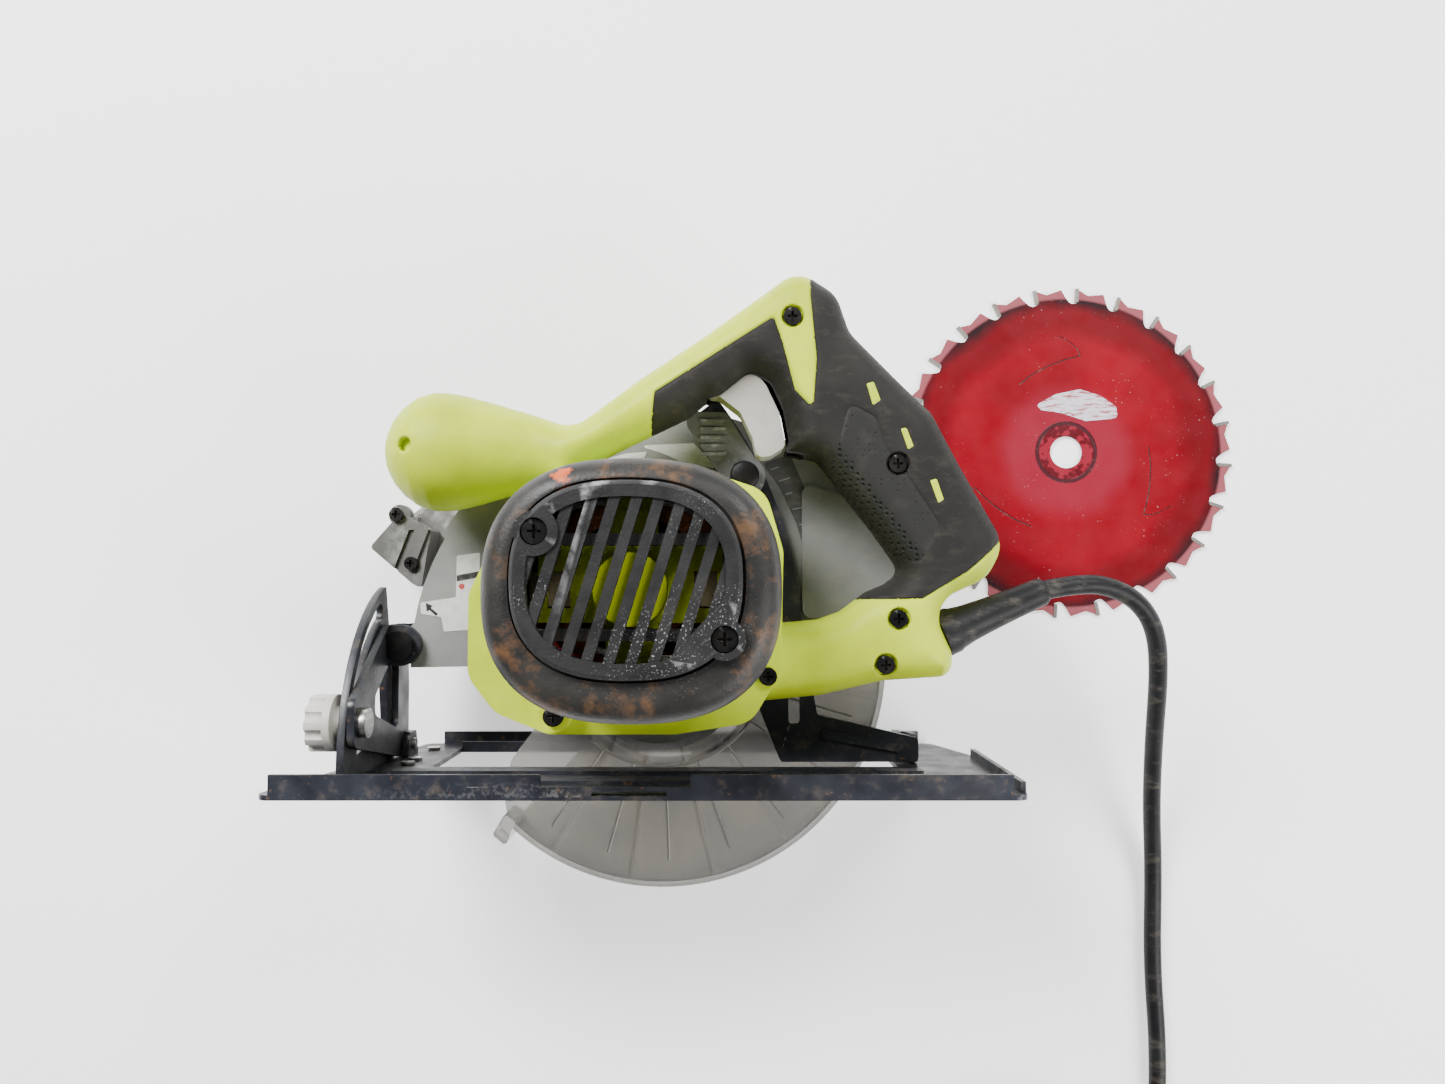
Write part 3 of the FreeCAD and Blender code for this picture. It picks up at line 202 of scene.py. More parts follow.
def black_coat(name, colour=(0.008, 0.009, 0.013), scrape=0.8, edge=(0.66, 0.78),
               chipped=0.3):
    """Black coated steel: long scrapes to bright metal, rust freckles and dust."""
    g = Graph(name)
    tone = g.mix(g.ramp(g.noise(60, 5), 0.4, 0.65), colour, tuple(2.2 * c for c in colour))
    lines = g.ramp(g.noise(420, 6, (0.06, 1.0, 1.0), 0.72), 0.66, 0.72)
    lines = g.maths("MULTIPLY", lines, g.ramp(g.noise(24, 3), 0.5, 0.64))
    rub = g.maths("MULTIPLY", g.edges(*edge), g.ramp(g.noise(700, 6), 0.50, 0.62))
    bare = g.maths("MAXIMUM", g.maths("MULTIPLY", lines, scrape),
                   g.maths("MULTIPLY", rub, chipped))
    tone = g.mix(bare, tone, (0.62, 0.60, 0.58))
    freckle = g.maths("MULTIPLY", g.ramp(g.noise(300, 8), 0.64, 0.72), 0.5)
    tone = g.mix(freckle, tone, (0.20, 0.10, 0.05))
    dusty = g.maths("MULTIPLY", g.ramp(g.noise(160, 9), 0.54, 0.74), 0.30)
    tone = g.mix(dusty, tone, (0.16, 0.12, 0.08))
    g.bump(g.noise(1400, 3), 0.08)
    material = g.finish(tone, g.ramp(g.noise(80, 6), 0.3, 0.7, 0.28, 0.55))
    g.link(g.maths("MULTIPLY", bare, 0.9), g.shader.inputs["Metallic"])
    return material


def smoked(name, clear=0.80):
    """Smoke-tinted clear plastic, a little scuffed and dusty."""
    g = Graph(name)
    haze = g.noise(45, 7)
    tone = g.mix(g.ramp(haze, 0.45, 0.75), (0.50, 0.49, 0.47), (0.58, 0.55, 0.48))
    g.bump(g.noise(120, 4), 0.04)
    return g.finish(tone, g.ramp(haze, 0.3, 0.8, 0.10, 0.26), Transmission_Weight=clear,
                    IOR=1.46)


def red_lacquer(name, centre):
    """Red lacquer on the blade: pinker by the bore, burnt black at the rim, bare teeth."""
    g = Graph(name)
    away = g.add("ShaderNodeVectorMath", operation="DISTANCE")
    g.link(g.coords, away.inputs[0])
    away.inputs[1].default_value = centre
    radius = away.outputs["Value"]
    wobble = g.maths("ADD", radius, g.maths("MULTIPLY", g.noise(38, 5), 0.014))
    tone = g.mix(g.ramp(g.noise(18, 4), 0.40, 0.66), (0.24, 0.0015, 0.010),
                 (0.165, 0.001, 0.006))
    tone = g.mix(g.ramp(radius, 0.036, 0.026, 0.0, 0.75), tone, (0.25, 0.016, 0.034))
    tone = g.mix(g.ramp(wobble, 0.062, 0.070, 0.0, 0.60), tone, (0.085, 0.003, 0.005))
    tone = g.mix(g.ramp(wobble, 0.077, 0.084, 0.0, 0.95), tone, (0.012, 0.006, 0.008))
    tone = g.mix(g.ramp(radius, 0.0762, 0.0775, 0.0, 0.85), tone, (0.32, 0.085, 0.10))
    ring = g.maths("MULTIPLY", g.ramp(radius, 0.0132, 0.0137), g.ramp(radius, 0.0157, 0.0152))
    tone = g.mix(g.maths("MULTIPLY", ring, 0.85), tone, (0.022, 0.012, 0.014))
    seat = g.maths("MULTIPLY", g.ramp(radius, 0.0137, 0.0134), g.ramp(g.noise(260, 3), 0.48, 0.54))
    tone = g.mix(g.maths("MULTIPLY", seat, 0.8), tone, (0.05, 0.004, 0.006))
    waves = g.maths("SINE", g.maths("MULTIPLY", radius, 9000.0))
    scratch = g.ramp(g.noise(700, 6), 0.66, 0.70, 0.0, 0.5)
    scratch = g.maths("MULTIPLY", scratch, g.ramp(g.noise(30, 3), 0.48, 0.62))
    tone = g.mix(scratch, tone, (0.62, 0.45, 0.45))
    g.bump(waves, 0.02, 0.0001)
    return g.finish(tone, g.ramp(g.noise(90, 6), 0.3, 0.7, 0.28, 0.46),
                    Specular_IOR_Level=0.18)


def flat_print(name, colour, rough=0.4):
    g = Graph(name)
    dirty = g.ramp(g.noise(240, 7), 0.5, 0.8, 0.0, 0.5)
    tone = g.mix(dirty, colour, (0.30, 0.27, 0.22))
    g.bump(g.noise(800, 3), 0.05)
    return g.finish(tone, g.ramp(dirty, 0, 1, rough, rough + 0.2))


def end_cap_look(name):
    """The end cap: a soft black rim with rust and dirt, and a greyer face with light flecks, whose
    edges are lightened as wear and as painted highlight.
    """
    g = Graph(name)
    parts = g.add("ShaderNodeSeparateXYZ")
    g.link(g.coords, parts.inputs[0])
    face = g.ramp(parts.outputs["Z"], 0.1853, 0.1862)
    rubber = g.mix(g.ramp(g.noise(55, 6), 0.4, 0.65), (0.013, 0.0125, 0.012),
                   (0.026, 0.024, 0.021))
    rust = g.ramp(g.noise(75, 9, (1, 1, 0.6), 0.7), 0.52, 0.66, 0.0, 0.85)
    rubber = g.mix(rust, rubber, (0.115, 0.058, 0.026))
    hard = g.mix(g.ramp(g.noise(65, 6), 0.4, 0.66), (0.009, 0.009, 0.0095),
                 (0.020, 0.0195, 0.019))
    flecks = g.ramp(g.noise(1300, 3), 0.60, 0.68)
    polished = g.ramp(g.noise(30, 3), 0.48, 0.62)
    hard = g.mix(g.maths("MULTIPLY", flecks, polished), hard, (0.30, 0.29, 0.29))
    # Light grey on the face's edges: partly rubbed wear, partly a painted highlight along the vent
    # bars.
    rub = g.maths("MULTIPLY", g.edges(0.57, 0.68), g.ramp(g.noise(200, 5), 0.40, 0.60, 0, 0.6))
    hard = g.mix(rub, hard, (0.40, 0.40, 0.41))
    away = g.add("ShaderNodeVectorMath", operation="DISTANCE")
    g.link(g.coords, away.inputs[0])
    away.inputs[1].default_value = place(-26.5, 69.5, 181)
    ragged = g.maths("ADD", away.outputs["Value"], g.maths("MULTIPLY", g.noise(300, 5), 0.006))
    rubber = g.mix(g.ramp(ragged, 0.0075, 0.0065), rubber, (0.60, 0.10, 0.015))
    tone = g.mix(face, rubber, hard)
    g.bump(g.noise(900, 4), 0.35)
    return g.finish(tone, g.ramp(g.noise(70, 6), 0.3, 0.7, 0.34, 0.55),
                    Specular_IOR_Level=0.32)


def dimpled(name):
    """Soft black rubber with a close pattern of small dimples."""
    g = Graph(name)
    cells = g.add("ShaderNodeTexVoronoi")
    cells.inputs["Scale"].default_value = 430.0
    cells.inputs["Randomness"].default_value = 0.25
    g.link(g.coords, cells.inputs["Vector"])
    pit = g.ramp(cells.outputs["Distance"], 0.12, 0.40)
    # Painted shade: the dimple pits are coloured darker than the rubber around them.
    tone = g.mix(pit, (0.004, 0.004, 0.004), (0.017, 0.0165, 0.0155))
    tone = g.mix(g.ramp(g.noise(90, 7), 0.55, 0.75, 0.0, 0.04), tone, DUST)
    g.bump(pit, 0.9, 0.0008)
    return g.finish(tone, g.ramp(pit, 0, 1, 0.75, 0.6), Specular_IOR_Level=0.2)


def worn_print(name):
    """A pale patch rubbed through to the red underneath."""
    g = Graph(name)
    holes = g.ramp(g.noise(420, 8, (0.4, 1.6, 1), 0.7), 0.50, 0.60, 0.0, 0.9)
    tone = g.mix(holes, (0.62, 0.58, 0.64), (0.33, 0.015, 0.03))
    g.bump(g.noise(700, 4), 0.06)
    return g.finish(tone, g.ramp(holes, 0, 1, 0.4, 0.5))


BLADE_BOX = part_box("saw_blade")
BLADE_CENTRE = tuple((BLADE_BOX[0][i] + BLADE_BOX[1][i]) / 2 for i in range(3))

LIME = plastic("lime_shell", (0.54, 0.66, 0.014), (0.43, 0.53, 0.010), 0.42, 2600, 0.08, 0.10,
              shine=0.2)
LIME_MARK = plastic("lime_mark", (0.54, 0.66, 0.014), (0.43, 0.53, 0.010), 0.4, dust_and_shade=0.25)
GRIP = plastic("soft_grip", (0.014, 0.013, 0.012), (0.022, 0.020, 0.018), 0.62, 1500, 0.2, 0.06,
               worn=(0.10, 0.10, 0.09), shine=0.18)
GRIP_ROUGH = dimpled("grip_texture")
CAP = end_cap_look("cap_plastic")
TRIGGER = plastic("trigger_plastic", (0.38, 0.37, 0.345), (0.27, 0.255, 0.225), 0.5, dust_and_shade=0.45)
GREY = plastic("grey_plastic", (0.16, 0.16, 0.16), (0.11, 0.11, 0.105), 0.45, dust_and_shade=0.3,
               worn=(0.34, 0.34, 0.33))
LASER = plastic("laser_plastic", (0.135, 0.132, 0.125), (0.10, 0.098, 0.094), 0.5, dust_and_shade=0.3,
                worn=(0.3, 0.3, 0.29))
GUARD = plastic("guard_casting", (0.26, 0.26, 0.255), (0.20, 0.20, 0.195), 0.46, 1700, 0.3, 0.3,
                worn=(0.52, 0.52, 0.52), metallic=0.25)
GEARCASE = plastic("gear_casting", (0.42, 0.41, 0.39), (0.31, 0.30, 0.28), 0.42, 1400, 0.35,
                   0.3, worn=(0.6, 0.6, 0.6), metallic=0.5)
BEIGE = plastic("fan_plastic", (0.62, 0.50, 0.30), (0.50, 0.40, 0.24), 0.45, dust_and_shade=0.4)
BLACK = black_coat("black_steel")
BLACK_CHIPPED = black_coat("black_chipped", edge=(0.56, 0.64), chipped=0.9)
BLACK_SCREW = metal("black_screw", (0.022, 0.022, 0.023), 0.42, wear=0.25)
KNOB = plastic("knob_plastic", (0.55, 0.53, 0.49), (0.44, 0.42, 0.38), 0.45, dust_and_shade=0.35)
BRIGHT = metal("bright_steel", (0.62, 0.61, 0.59), 0.32, (1, 1, 0.1), rust=0.25)
DARK = metal("dark_steel", (0.22, 0.22, 0.225), 0.4, (1, 1, 0.1), wear=0.5)
CORE = metal("core_steel", (0.18, 0.175, 0.17), 0.5, (1, 1, 12), rust=0.4)
COPPER = metal("copper_wire", (0.50, 0.20, 0.085), 0.35, (1, 1, 8))
COMMUTATOR = metal("commutator_copper", (0.80, 0.42, 0.22), 0.3, (1, 1, 12))
CARBON = plastic("brush_carbon", (0.03, 0.03, 0.03), (0.045, 0.045, 0.045), 0.6, dust_and_shade=0.1)
CARBIDE = metal("carbide", (0.36, 0.34, 0.31), 0.45, rust=0.3)
RED = red_lacquer("red_blade", BLADE_CENTRE)
SMOKED = smoked("smoked_guard")
SMOKED_RIB = smoked("smoked_rib", 0.6)
CORD = plastic("cord_rubber", (0.009, 0.009, 0.010), (0.017, 0.017, 0.018), 0.44, 700, 0.10, 0.2,
              shine=0.16)
PLUG_BRASS = metal("plug_brass", (0.80, 0.68, 0.42), 0.3)
LENS = flat_print("lens_glass", (0.45, 0.03, 0.03), 0.1)
PAPER = flat_print("label_paper", (0.66, 0.66, 0.64))
WORN_PRINT = worn_print("blade_print")
SCALE = plastic("guard_scale", (0.085, 0.084, 0.082), (0.065, 0.064, 0.062), 0.5, dust_and_shade=0.25)
TICK = plastic("scale_ticks", (0.30, 0.30, 0.29), (0.22, 0.22, 0.21), 0.5, dust_and_shade=0.25)
SLOT_FILL = flat_print("slot_resin", (0.055, 0.004, 0.006), 0.6)
INK = flat_print("label_ink", (0.02, 0.02, 0.02))
WARN = flat_print("label_red", (0.45, 0.03, 0.03))

CAD_LOOKS = {
    "handle_screws": BLACK_SCREW, "trigger_pin": BRIGHT, "trigger_switch": CAP,
    "housing_screws": BLACK_SCREW, "end_cap_screws": BLACK_SCREW, "motor_end_cap": CAP,
    "armature_shaft": BRIGHT, "armature_core": CORE, "armature_windings": COPPER,
    "commutator": COMMUTATOR, "cooling_fan": BEIGE, "pinion": DARK,
    "armature_bearings": BRIGHT, "stator_core": CORE, "stator_coils": COPPER,
    "brush_holders": BEIGE, "carbon_brushes": CARBON, "gear_case": GEARCASE,
    "spindle_bearings": BRIGHT, "spindle": DARK, "output_gear": DARK, "inner_flange": DARK,
    "outer_flange": DARK, "blade_bolt": BRIGHT, "spindle_lock": CAP, "upper_guard": GUARD,
    "dust_chute": CAP, "laser_housing": LASER, "laser_lens": LENS, "laser_screws": BLACK_SCREW,
    "lower_guard": SMOKED, "guard_retainer": BRIGHT, "guard_spring": BRIGHT,
    "depth_bracket": BLACK_CHIPPED, "depth_bolt": BLACK_SCREW, "depth_lever": GREY,
    "front_yoke": BLACK, "pivot_pin": BLACK_SCREW, "bevel_bolt": BRIGHT, "bevel_knob": KNOB,
    "bevel_quadrant": BLACK_CHIPPED, "base_plate": BLACK, "hinge_pins": BRIGHT,
    "base_rivets": BRIGHT, "saw_blade": RED, "blade_teeth": CARBIDE, "plug_pins": PLUG_BRASS,
    "motor_housing": LIME, "trigger": TRIGGER, "cord_tie": GRIP}
FINE_EDGE = {"saw_blade": 0.15, "blade_teeth": 0.12, "base_plate": 0.5, "motor_end_cap": 0.6,
             "guard_spring": 0.0, "trigger": 2.0, "motor_housing": 1.0, "bevel_knob": 0.8,
             "armature_bearings": 0.15, "spindle_bearings": 0.15}


def finish_cad(name, look):
    """Breaks a machined node's sharp edges and gives it its finish."""
    shown = nodes[name]
    shown.data.materials.clear()
    shown.data.materials.append(look)
    width = FINE_EDGE.get(name, 0.35) / 1000
    weld = shown.modifiers.new("weld", "WELD")
    weld.merge_threshold = 0.00001
    if width:
        soft = shown.modifiers.new("edges", "BEVEL")
        soft.width = width
        soft.segments = 2
        soft.limit_method = "ANGLE"
        soft.angle_limit = math.radians(32)
        soft.use_clamp_overlap = True
        soft.harden_normals = False


for node_name, node_look in CAD_LOOKS.items():
    if node_name in nodes:
        finish_cad(node_name, node_look)


# ---- camera, floor and light --------------------------------------------------------
CAMERA_AT = (26.8, 33.9, 556.5)
CAMERA_TILT = 2.27
CAMERA_LENS = 27.90
FLOOR_REACH = 3.0
FLOOR_DROP = 0.0002
FLOOR_GLOW = 0.8
LIGHTS = (("key", (-0.85, 0.95, 1.15), 0.7, 60.0),
          ("fill", (1.1, -0.7, 1.0), 0.9, 30.0),
          ("top", (0.75, 1.0, 1.2), 0.5, 20.0))
WORLD_STRENGTH = 0.20


def stage():
    """The camera, a pale floor and soft light."""
    camera_data = bpy.data.cameras.new("camera")
    camera_data.lens = CAMERA_LENS
    camera_data.sensor_width = 36.0
    camera_data.clip_start = 0.01
    camera = bpy.data.objects.new("camera", camera_data)
    camera.location = place(*CAMERA_AT)
    camera.rotation_euler = (math.radians(CAMERA_TILT), 0, 0)
    bpy.context.scene.collection.objects.link(camera)
    bpy.context.scene.camera = camera
    floor_mesh = bpy.data.meshes.new("floor")
    reach = FLOOR_REACH
    corners = [(-reach, -reach), (reach, -reach), (reach, reach), (-reach, reach)]
    floor_mesh.from_pydata([(x, y, -FLOOR_DROP) for x, y in corners], [], [(0, 1, 2, 3)])
    floor = bpy.data.objects.new("floor", floor_mesh)
    g = Graph("floor")
    floor_mesh.materials.append(g.finish((0.93, 0.93, 0.93), 0.8, Emission_Color=(1, 1, 1, 1),
                                         Emission_Strength=FLOOR_GLOW))
    bpy.context.scene.collection.objects.link(floor)
    for name, where, size, power in LIGHTS:
        light_data = bpy.data.lights.new(name, "AREA")
        light_data.size = size
        light_data.energy = power
        light = bpy.data.objects.new(name, light_data)
        light.location = where
        light.rotation_euler = (-Vector(where)).to_track_quat("-Z", "Y").to_euler()
        bpy.context.scene.collection.objects.link(light)
    world = bpy.data.worlds.new("world")
    world.use_nodes = True
    background = world.node_tree.nodes["Background"]
    background.inputs["Color"].default_value = (0.95, 0.97, 1.0, 1)
    background.inputs["Strength"].default_value = WORLD_STRENGTH
    bpy.context.scene.world = world


stage()


# ---- mesh helpers -------------------------------------------------------------------
# Angles in degrees above which an edge of a piece is shown sharp.
LOFT_SHARP = 40.0
TUBE_SHARP = 60
HANDLE_SHARP = 42


def piece(name, points, faces, looks, body, replaced=(), sharp=35.0, tags=None):
    """A mesh from points in millimetres, riding on a body."""
    mesh = bpy.data.meshes.new(name)
    mesh.from_pydata([place(*p) for p in points], [], faces)
    mesh.update()
    for look in looks if isinstance(looks, (list, tuple)) else [looks]:
        mesh.materials.append(look)
    if tags is not None:
        mesh.polygons.foreach_set("material_index", tags)
    mesh.shade_smooth()
    if sharp:
        mesh.set_sharp_from_angle(angle=math.radians(sharp))
    made = bpy.data.objects.new(name, mesh)
    bpy.context.scene.collection.objects.link(made)
    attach(made, body)
    if replaced:
        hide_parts(*replaced)
    return made


def rounded(points, radius, step=1.5):
    """A closed outline with its corners rounded, as points about step apart."""
    corners = [Vector(p) for p in points]
    outline = []
    count = len(corners)
    for i, corner in enumerate(corners):
        back = corners[i - 1] - corner
        ahead = corners[(i + 1) % count] - corner
        half_turn = (math.pi - back.angle(ahead)) / 2
        cut = min(radius * math.tan(half_turn), 0.48 * min(back.length, ahead.length))
        size = cut / math.tan(half_turn)
        back.normalize()
        ahead.normalize()
        centre = corner + (back + ahead).normalized() * (size / math.cos(half_turn))
        first = corner + back * cut - centre
        last = corner + ahead * cut - centre
        turns = max(2, int(size * 2 * half_turn / step))
        for n in range(turns + 1):
            spoke = first.lerp(last, n / turns).normalized() * size
            outline.append(centre + spoke)
    dense = []
    for i, here in enumerate(outline):
        following = outline[(i + 1) % len(outline)]
        gap = (following - here).length
        if gap < 0.02:
            continue
        pieces = max(1, round(gap / step))
        dense += [here.lerp(following, n / pieces) for n in range(pieces)]
    return np.array([(p.x, p.y) for p in dense])


def inside(points, outline):
    """Which of the points lie inside a closed outline."""
    x, y = points[:, :1], points[:, 1:2]
    x1, y1 = outline[:, 0], outline[:, 1]
    x2, y2 = np.roll(x1, -1), np.roll(y1, -1)
    crosses = (y1 > y) != (y2 > y)
    rise = np.where(y2 == y1, 1e-9, y2 - y1)
    hit = crosses & (x < (x2 - x1) * (y - y1) / rise + x1)
    return hit.sum(axis=1) % 2 == 1


def distance(points, outline):
    """How far each point is from a closed outline."""
    start = outline
    along = np.roll(outline, -1, axis=0) - start
    length = (along ** 2).sum(axis=1)
    best = np.full(len(points), 1e9)
    for chunk in range(0, len(points), 2000):
        p = points[chunk:chunk + 2000, None, :]
        t = np.clip(((p - start) * along).sum(axis=2) / np.maximum(length, 1e-12), 0, 1)
        gap = p - (start + t[..., None] * along)
        best[chunk:chunk + 2000] = np.sqrt((gap ** 2).sum(axis=2)).min(axis=1)
    return best


def inset(outline, amount):
    """An outline moved to its left by amount, which is inwards if it runs anticlockwise."""
    ahead = np.roll(outline, -1, axis=0) - np.roll(outline, 1, axis=0)
    ahead /= np.maximum(np.linalg.norm(ahead, axis=1), 1e-9)[:, None]
    return outline + amount * np.stack([-ahead[:, 1], ahead[:, 0]], axis=1)


def anticlockwise(outline):
    """The outline, turned round if it runs clockwise."""
    x, y = outline[:, 0], outline[:, 1]
    area = (x * np.roll(y, -1) - y * np.roll(x, -1)).sum()
    return outline if area > 0 else outline[::-1]


def triangulate(loops, loose):
    """Triangles over loops of points kept as edges, and loose points between them."""
    points = [tuple(p) for loop in loops for p in loop] + [tuple(p) for p in loose]
    edges = []
    start = 0
    for loop in loops:
        size = len(loop)
        edges += [(start + i, start + (i + 1) % size) for i in range(size)]
        start += size
    found = delaunay_2d_cdt([Vector(p) for p in points], edges, [], 0, 0.02)
    return np.array([(p.x, p.y) for p in found[0]]), np.array([tuple(f) for f in found[2]])


def ringed_faces(levels, around):
    """The faces of a closed skin over rings of points, one ring a level."""
    faces = []
    for level in range(levels - 1):
        first = level * around
        for here in range(around):
            after = (here + 1) % around
            faces.append((first + here, first + after, first + around + after,
                          first + around + here))
    faces.append(tuple(range(around - 1, -1, -1)))
    faces.append(tuple(range((levels - 1) * around, levels * around)))
    return faces


def loft(name, outline, profile, look, body, replaced=()):
    """Rings of one outline, each (height, inset), joined into a skin."""
    points = []
    for height, amount in profile:
        ring = inset(outline, amount)
        points += [(x, y, height) for x, y in ring]
    faces = ringed_faces(len(profile), len(outline))
    return piece(name, points, faces, look, body, replaced, LOFT_SHARP)


# ---- cord ---------------------------------------------------------------------------
CORD_D = 8.1
ROUTE = [
    (160.8, 32.3, 90.0), (177.0, 35.6, 88.8), (192.9, 33.2, 84.8), (206.2, 25.4, 78.6),
    (214.8, 12.8, 70.8), (220.0, -6.5, 58.5), (225.3, -36.0, 38.0), (231.0, -70.0, 18.5),
    (237.0, -106.0, 4.3), (235.5, -148.0, 4.3), (238.0, -190.0, 4.3), (236.5, -228.0, 4.3)]
COIL_CENTRE = (188.0, -270.0)
COIL_ROWS = [(48.0, 4.3), (39.8, 4.3), (39.8, 12.5), (48.0, 12.5), (48.0, 20.7)]
COIL_STEPS = 16
COIL_START = 10.0
COIL_TURNS = 5.28
TAIL = [(168.0, -317.3, 17.5), (158.0, -315.0, 12.0), (148.0, -314.0, 9.3)]


def coil_points():
    """The put-away coil: turns beside and on each other, each stepping over at its end."""
    points = []
    for n in range(int(COIL_TURNS * COIL_STEPS) + 1):
        turn = n / COIL_STEPS
        row = min(int(turn), len(COIL_ROWS) - 1)
        after = min(row + 1, len(COIL_ROWS) - 1)
        blend = max(0.0, (turn - int(turn) - 0.75) / 0.25) if turn < len(COIL_ROWS) - 1 else 0
        radius = COIL_ROWS[row][0] * (1 - blend) + COIL_ROWS[after][0] * blend
        height = COIL_ROWS[row][1] * (1 - blend) + COIL_ROWS[after][1] * blend
        angle = math.radians(COIL_START - 360 * turn)
        points.append((COIL_CENTRE[0] + radius * math.cos(angle),
                       COIL_CENTRE[1] + radius * math.sin(angle), height))
    return points


def cord_curve():
    """The lead as one smooth curve: route, coil and the short run into the plug."""
    points = ROUTE + coil_points() + TAIL
    curve = bpy.data.curves.new("mains_cord", "CURVE")
    curve.dimensions = "3D"
    spline = curve.splines.new("NURBS")
    spline.points.add(len(points) - 1)
    for target, point in zip(spline.points, points):
        target.co = (*place(*point), 1.0)
    spline.order_u = 3
    spline.use_endpoint_u = True
    spline.resolution_u = 8
    curve.bevel_depth = CORD_D / 2000
    curve.bevel_resolution = 5
    curve.use_fill_caps = True
    curve.materials.append(CORD)
    made = bpy.data.objects.new("mains_cord", curve)
    bpy.context.scene.collection.objects.link(made)
    return made


def turned(name, profile, start, end, look, body, replaced=(), around=28):
    """A skin turned about the line from start to end, from (share, radius) pairs."""
    base = Vector(start)
    axis = Vector(end) - base
    turn = axis.to_track_quat("Z", "Y")
    points = []
    for share, radius in profile:
        for n in range(around):
            angle = 2 * math.pi * n / around
            rim = Vector((radius * math.cos(angle), radius * math.sin(angle), 0))
            points.append(base + axis * share + turn @ rim)
    faces = ringed_faces(len(profile), around)
    return piece(name, points, faces, look, body, replaced)


RELIEF_BASE = (116.7, 13.8, 92.0)
RELIEF_TIP = (160.8, 32.3, 90.0)


def strain_relief():
    """The tapered sleeve where the lead leaves the handle."""
    profile = [(0.0, 8.8), (0.01, 9.8), (0.12, 9.6), (0.15, 8.9), (0.25, 8.0), (0.4, 7.3),
               (0.55, 6.8), (0.7, 6.4), (0.84, 6.1), (0.93, 5.9), (0.975, 5.7), (1.0, 4.9)]
    return turned("strain_relief_sleeve", profile, RELIEF_BASE, RELIEF_TIP, CORD, "saw_body",
                  ["strain_relief"])


def plug():
    """The moulded plug, with a groove round its middle."""
    outline = anticlockwise(rounded([(148, -319), (148, -309), (132, -303.5), (112, -302),
                                     (112, -326), (132, -324.5)], 3, 1.2))
    profile = [(0.4, 1.8), (1.2, 0.7), (3.0, 0.0), (6.0, -0.0), (8.4, -0.2), (9.0, 0.3),
               (9.6, 0.3), (10.2, -0.2), (12.6, 0.0), (15.6, 0.0), (17.4, 0.7), (18.2, 1.8)]
    return loft("plug_moulding", outline, profile, CORD, "saw_body",
                ["plug_body"])


def build_cord():
    cord = cord_curve()
    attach(cord, "saw_body")
    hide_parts("power_cord", "cord_coil", "cord_tail")
    sleeve = strain_relief()
    moulding = plug()


build_cord()

# ---- handle -------------------------------------------------------------------------
BULB = [(-112.5, 0.0), (-112.0, 5.0), (-110.5, 9.6), (-107.8, 14.3), (-104.0, 18.6),
        (-98.5, 22.6), (-92.0, 24.5), (-86.0, 24.4), (-80.0, 23.4), (-73.0, 21.6),
        (-66.0, 19.6), (-57.0, 17.0), (-48.0, 14.8), (-30.0, 12.5)]
BULB_Y = 89.5
HANDLE = ([(-34.7, 99.0)] + [(x, BULB_Y + r) for x, r in BULB[11:0:-1]] + [(-112.5, BULB_Y)]
          + [(x, BULB_Y - r) for x, r in BULB[1:12]]
          + [(-44, 72.5), (-20, 60), (0, 20), (20, -19), (42.3, -13), (67.1, -10.5), (91.9, -4.7),
             (119, -3), (121.5, 5), (112, 26.5), (135, 37), (142.5, 51), (124.4, 83.1),
             (113, 105), (100.9, 116.6), (79.4, 138.5), (74.3, 154), (57.5, 165), (42.5, 153.7),
             (17.4, 135.8), (-7.6, 119.1)])
GAP = [(-34, 78), (-26, 85), (-2.6, 96.5), (13, 104), (20, 110), (26, 112), (38, 121.5),
       (46.5, 116.5), (51.5, 105.5), (54, 92), (51.5, 88.5), (57, 88), (66, 85.5),
       (72.3, 77.3), (80, 67.5), (89, 56), (100, 40), (94, 35), (85.8, 31.5), (75, 23.5),
       (66, 20.3), (52, 19), (38, 19), (38, 64), (10, 74)]
MOTOR_FOOT = [(-74, -2), (-74, 31), (-62, 56), (-40, 76), (20, 80), (44, 72), (51, 48),
              (50, 0), (38, -20), (8, -24.5), (-42, -24.5), (-63, -16)]
COVER = [(-3.2, 90), (-0.5, 112), (47.4, 142.4), (50.7, 133), (56, 113), (63.2, 105.2),
         (64.6, 125.5), (62.2, 151), (63, 172), (100, 160), (152, 62), (136, 49.7),
         (124.3, 39.6), (106.4, 29), (83.4, 28.6), (60, 30), (30, 80)]
PANEL = [(77.6, 107.3), (88.1, 101.6), (91.8, 90.1), (100.2, 78.7), (113.4, 58.8),
         (105.7, 43.2), (91.9, 47.7), (69.3, 78.7), (72.6, 88.5)]
MARKS = [[(84.5, 115.1), (87.4, 115.9), (90.1, 108.5), (87.0, 106.4)],
         [(98.1, 97.0), (100.4, 97.3), (103.2, 90.1), (101.0, 88.5)],
         [(109.7, 76.2), (112.3, 76.9), (115.1, 68.6), (112.9, 67.1)]]
SCREWS = [(55.0, 142.5), (97.0, 83.0), (97.0, 21.0), (91.7, 2.7)]
DIMPLE = (-99.5, 90.3)
TRIGGER_ROOM = [(38, 130), (50, 126), (60, 108), (63, 88), (50, 84), (40, 88), (34, 104),
                (24, 109), (20, 110), (16, 118), (24, 124)]


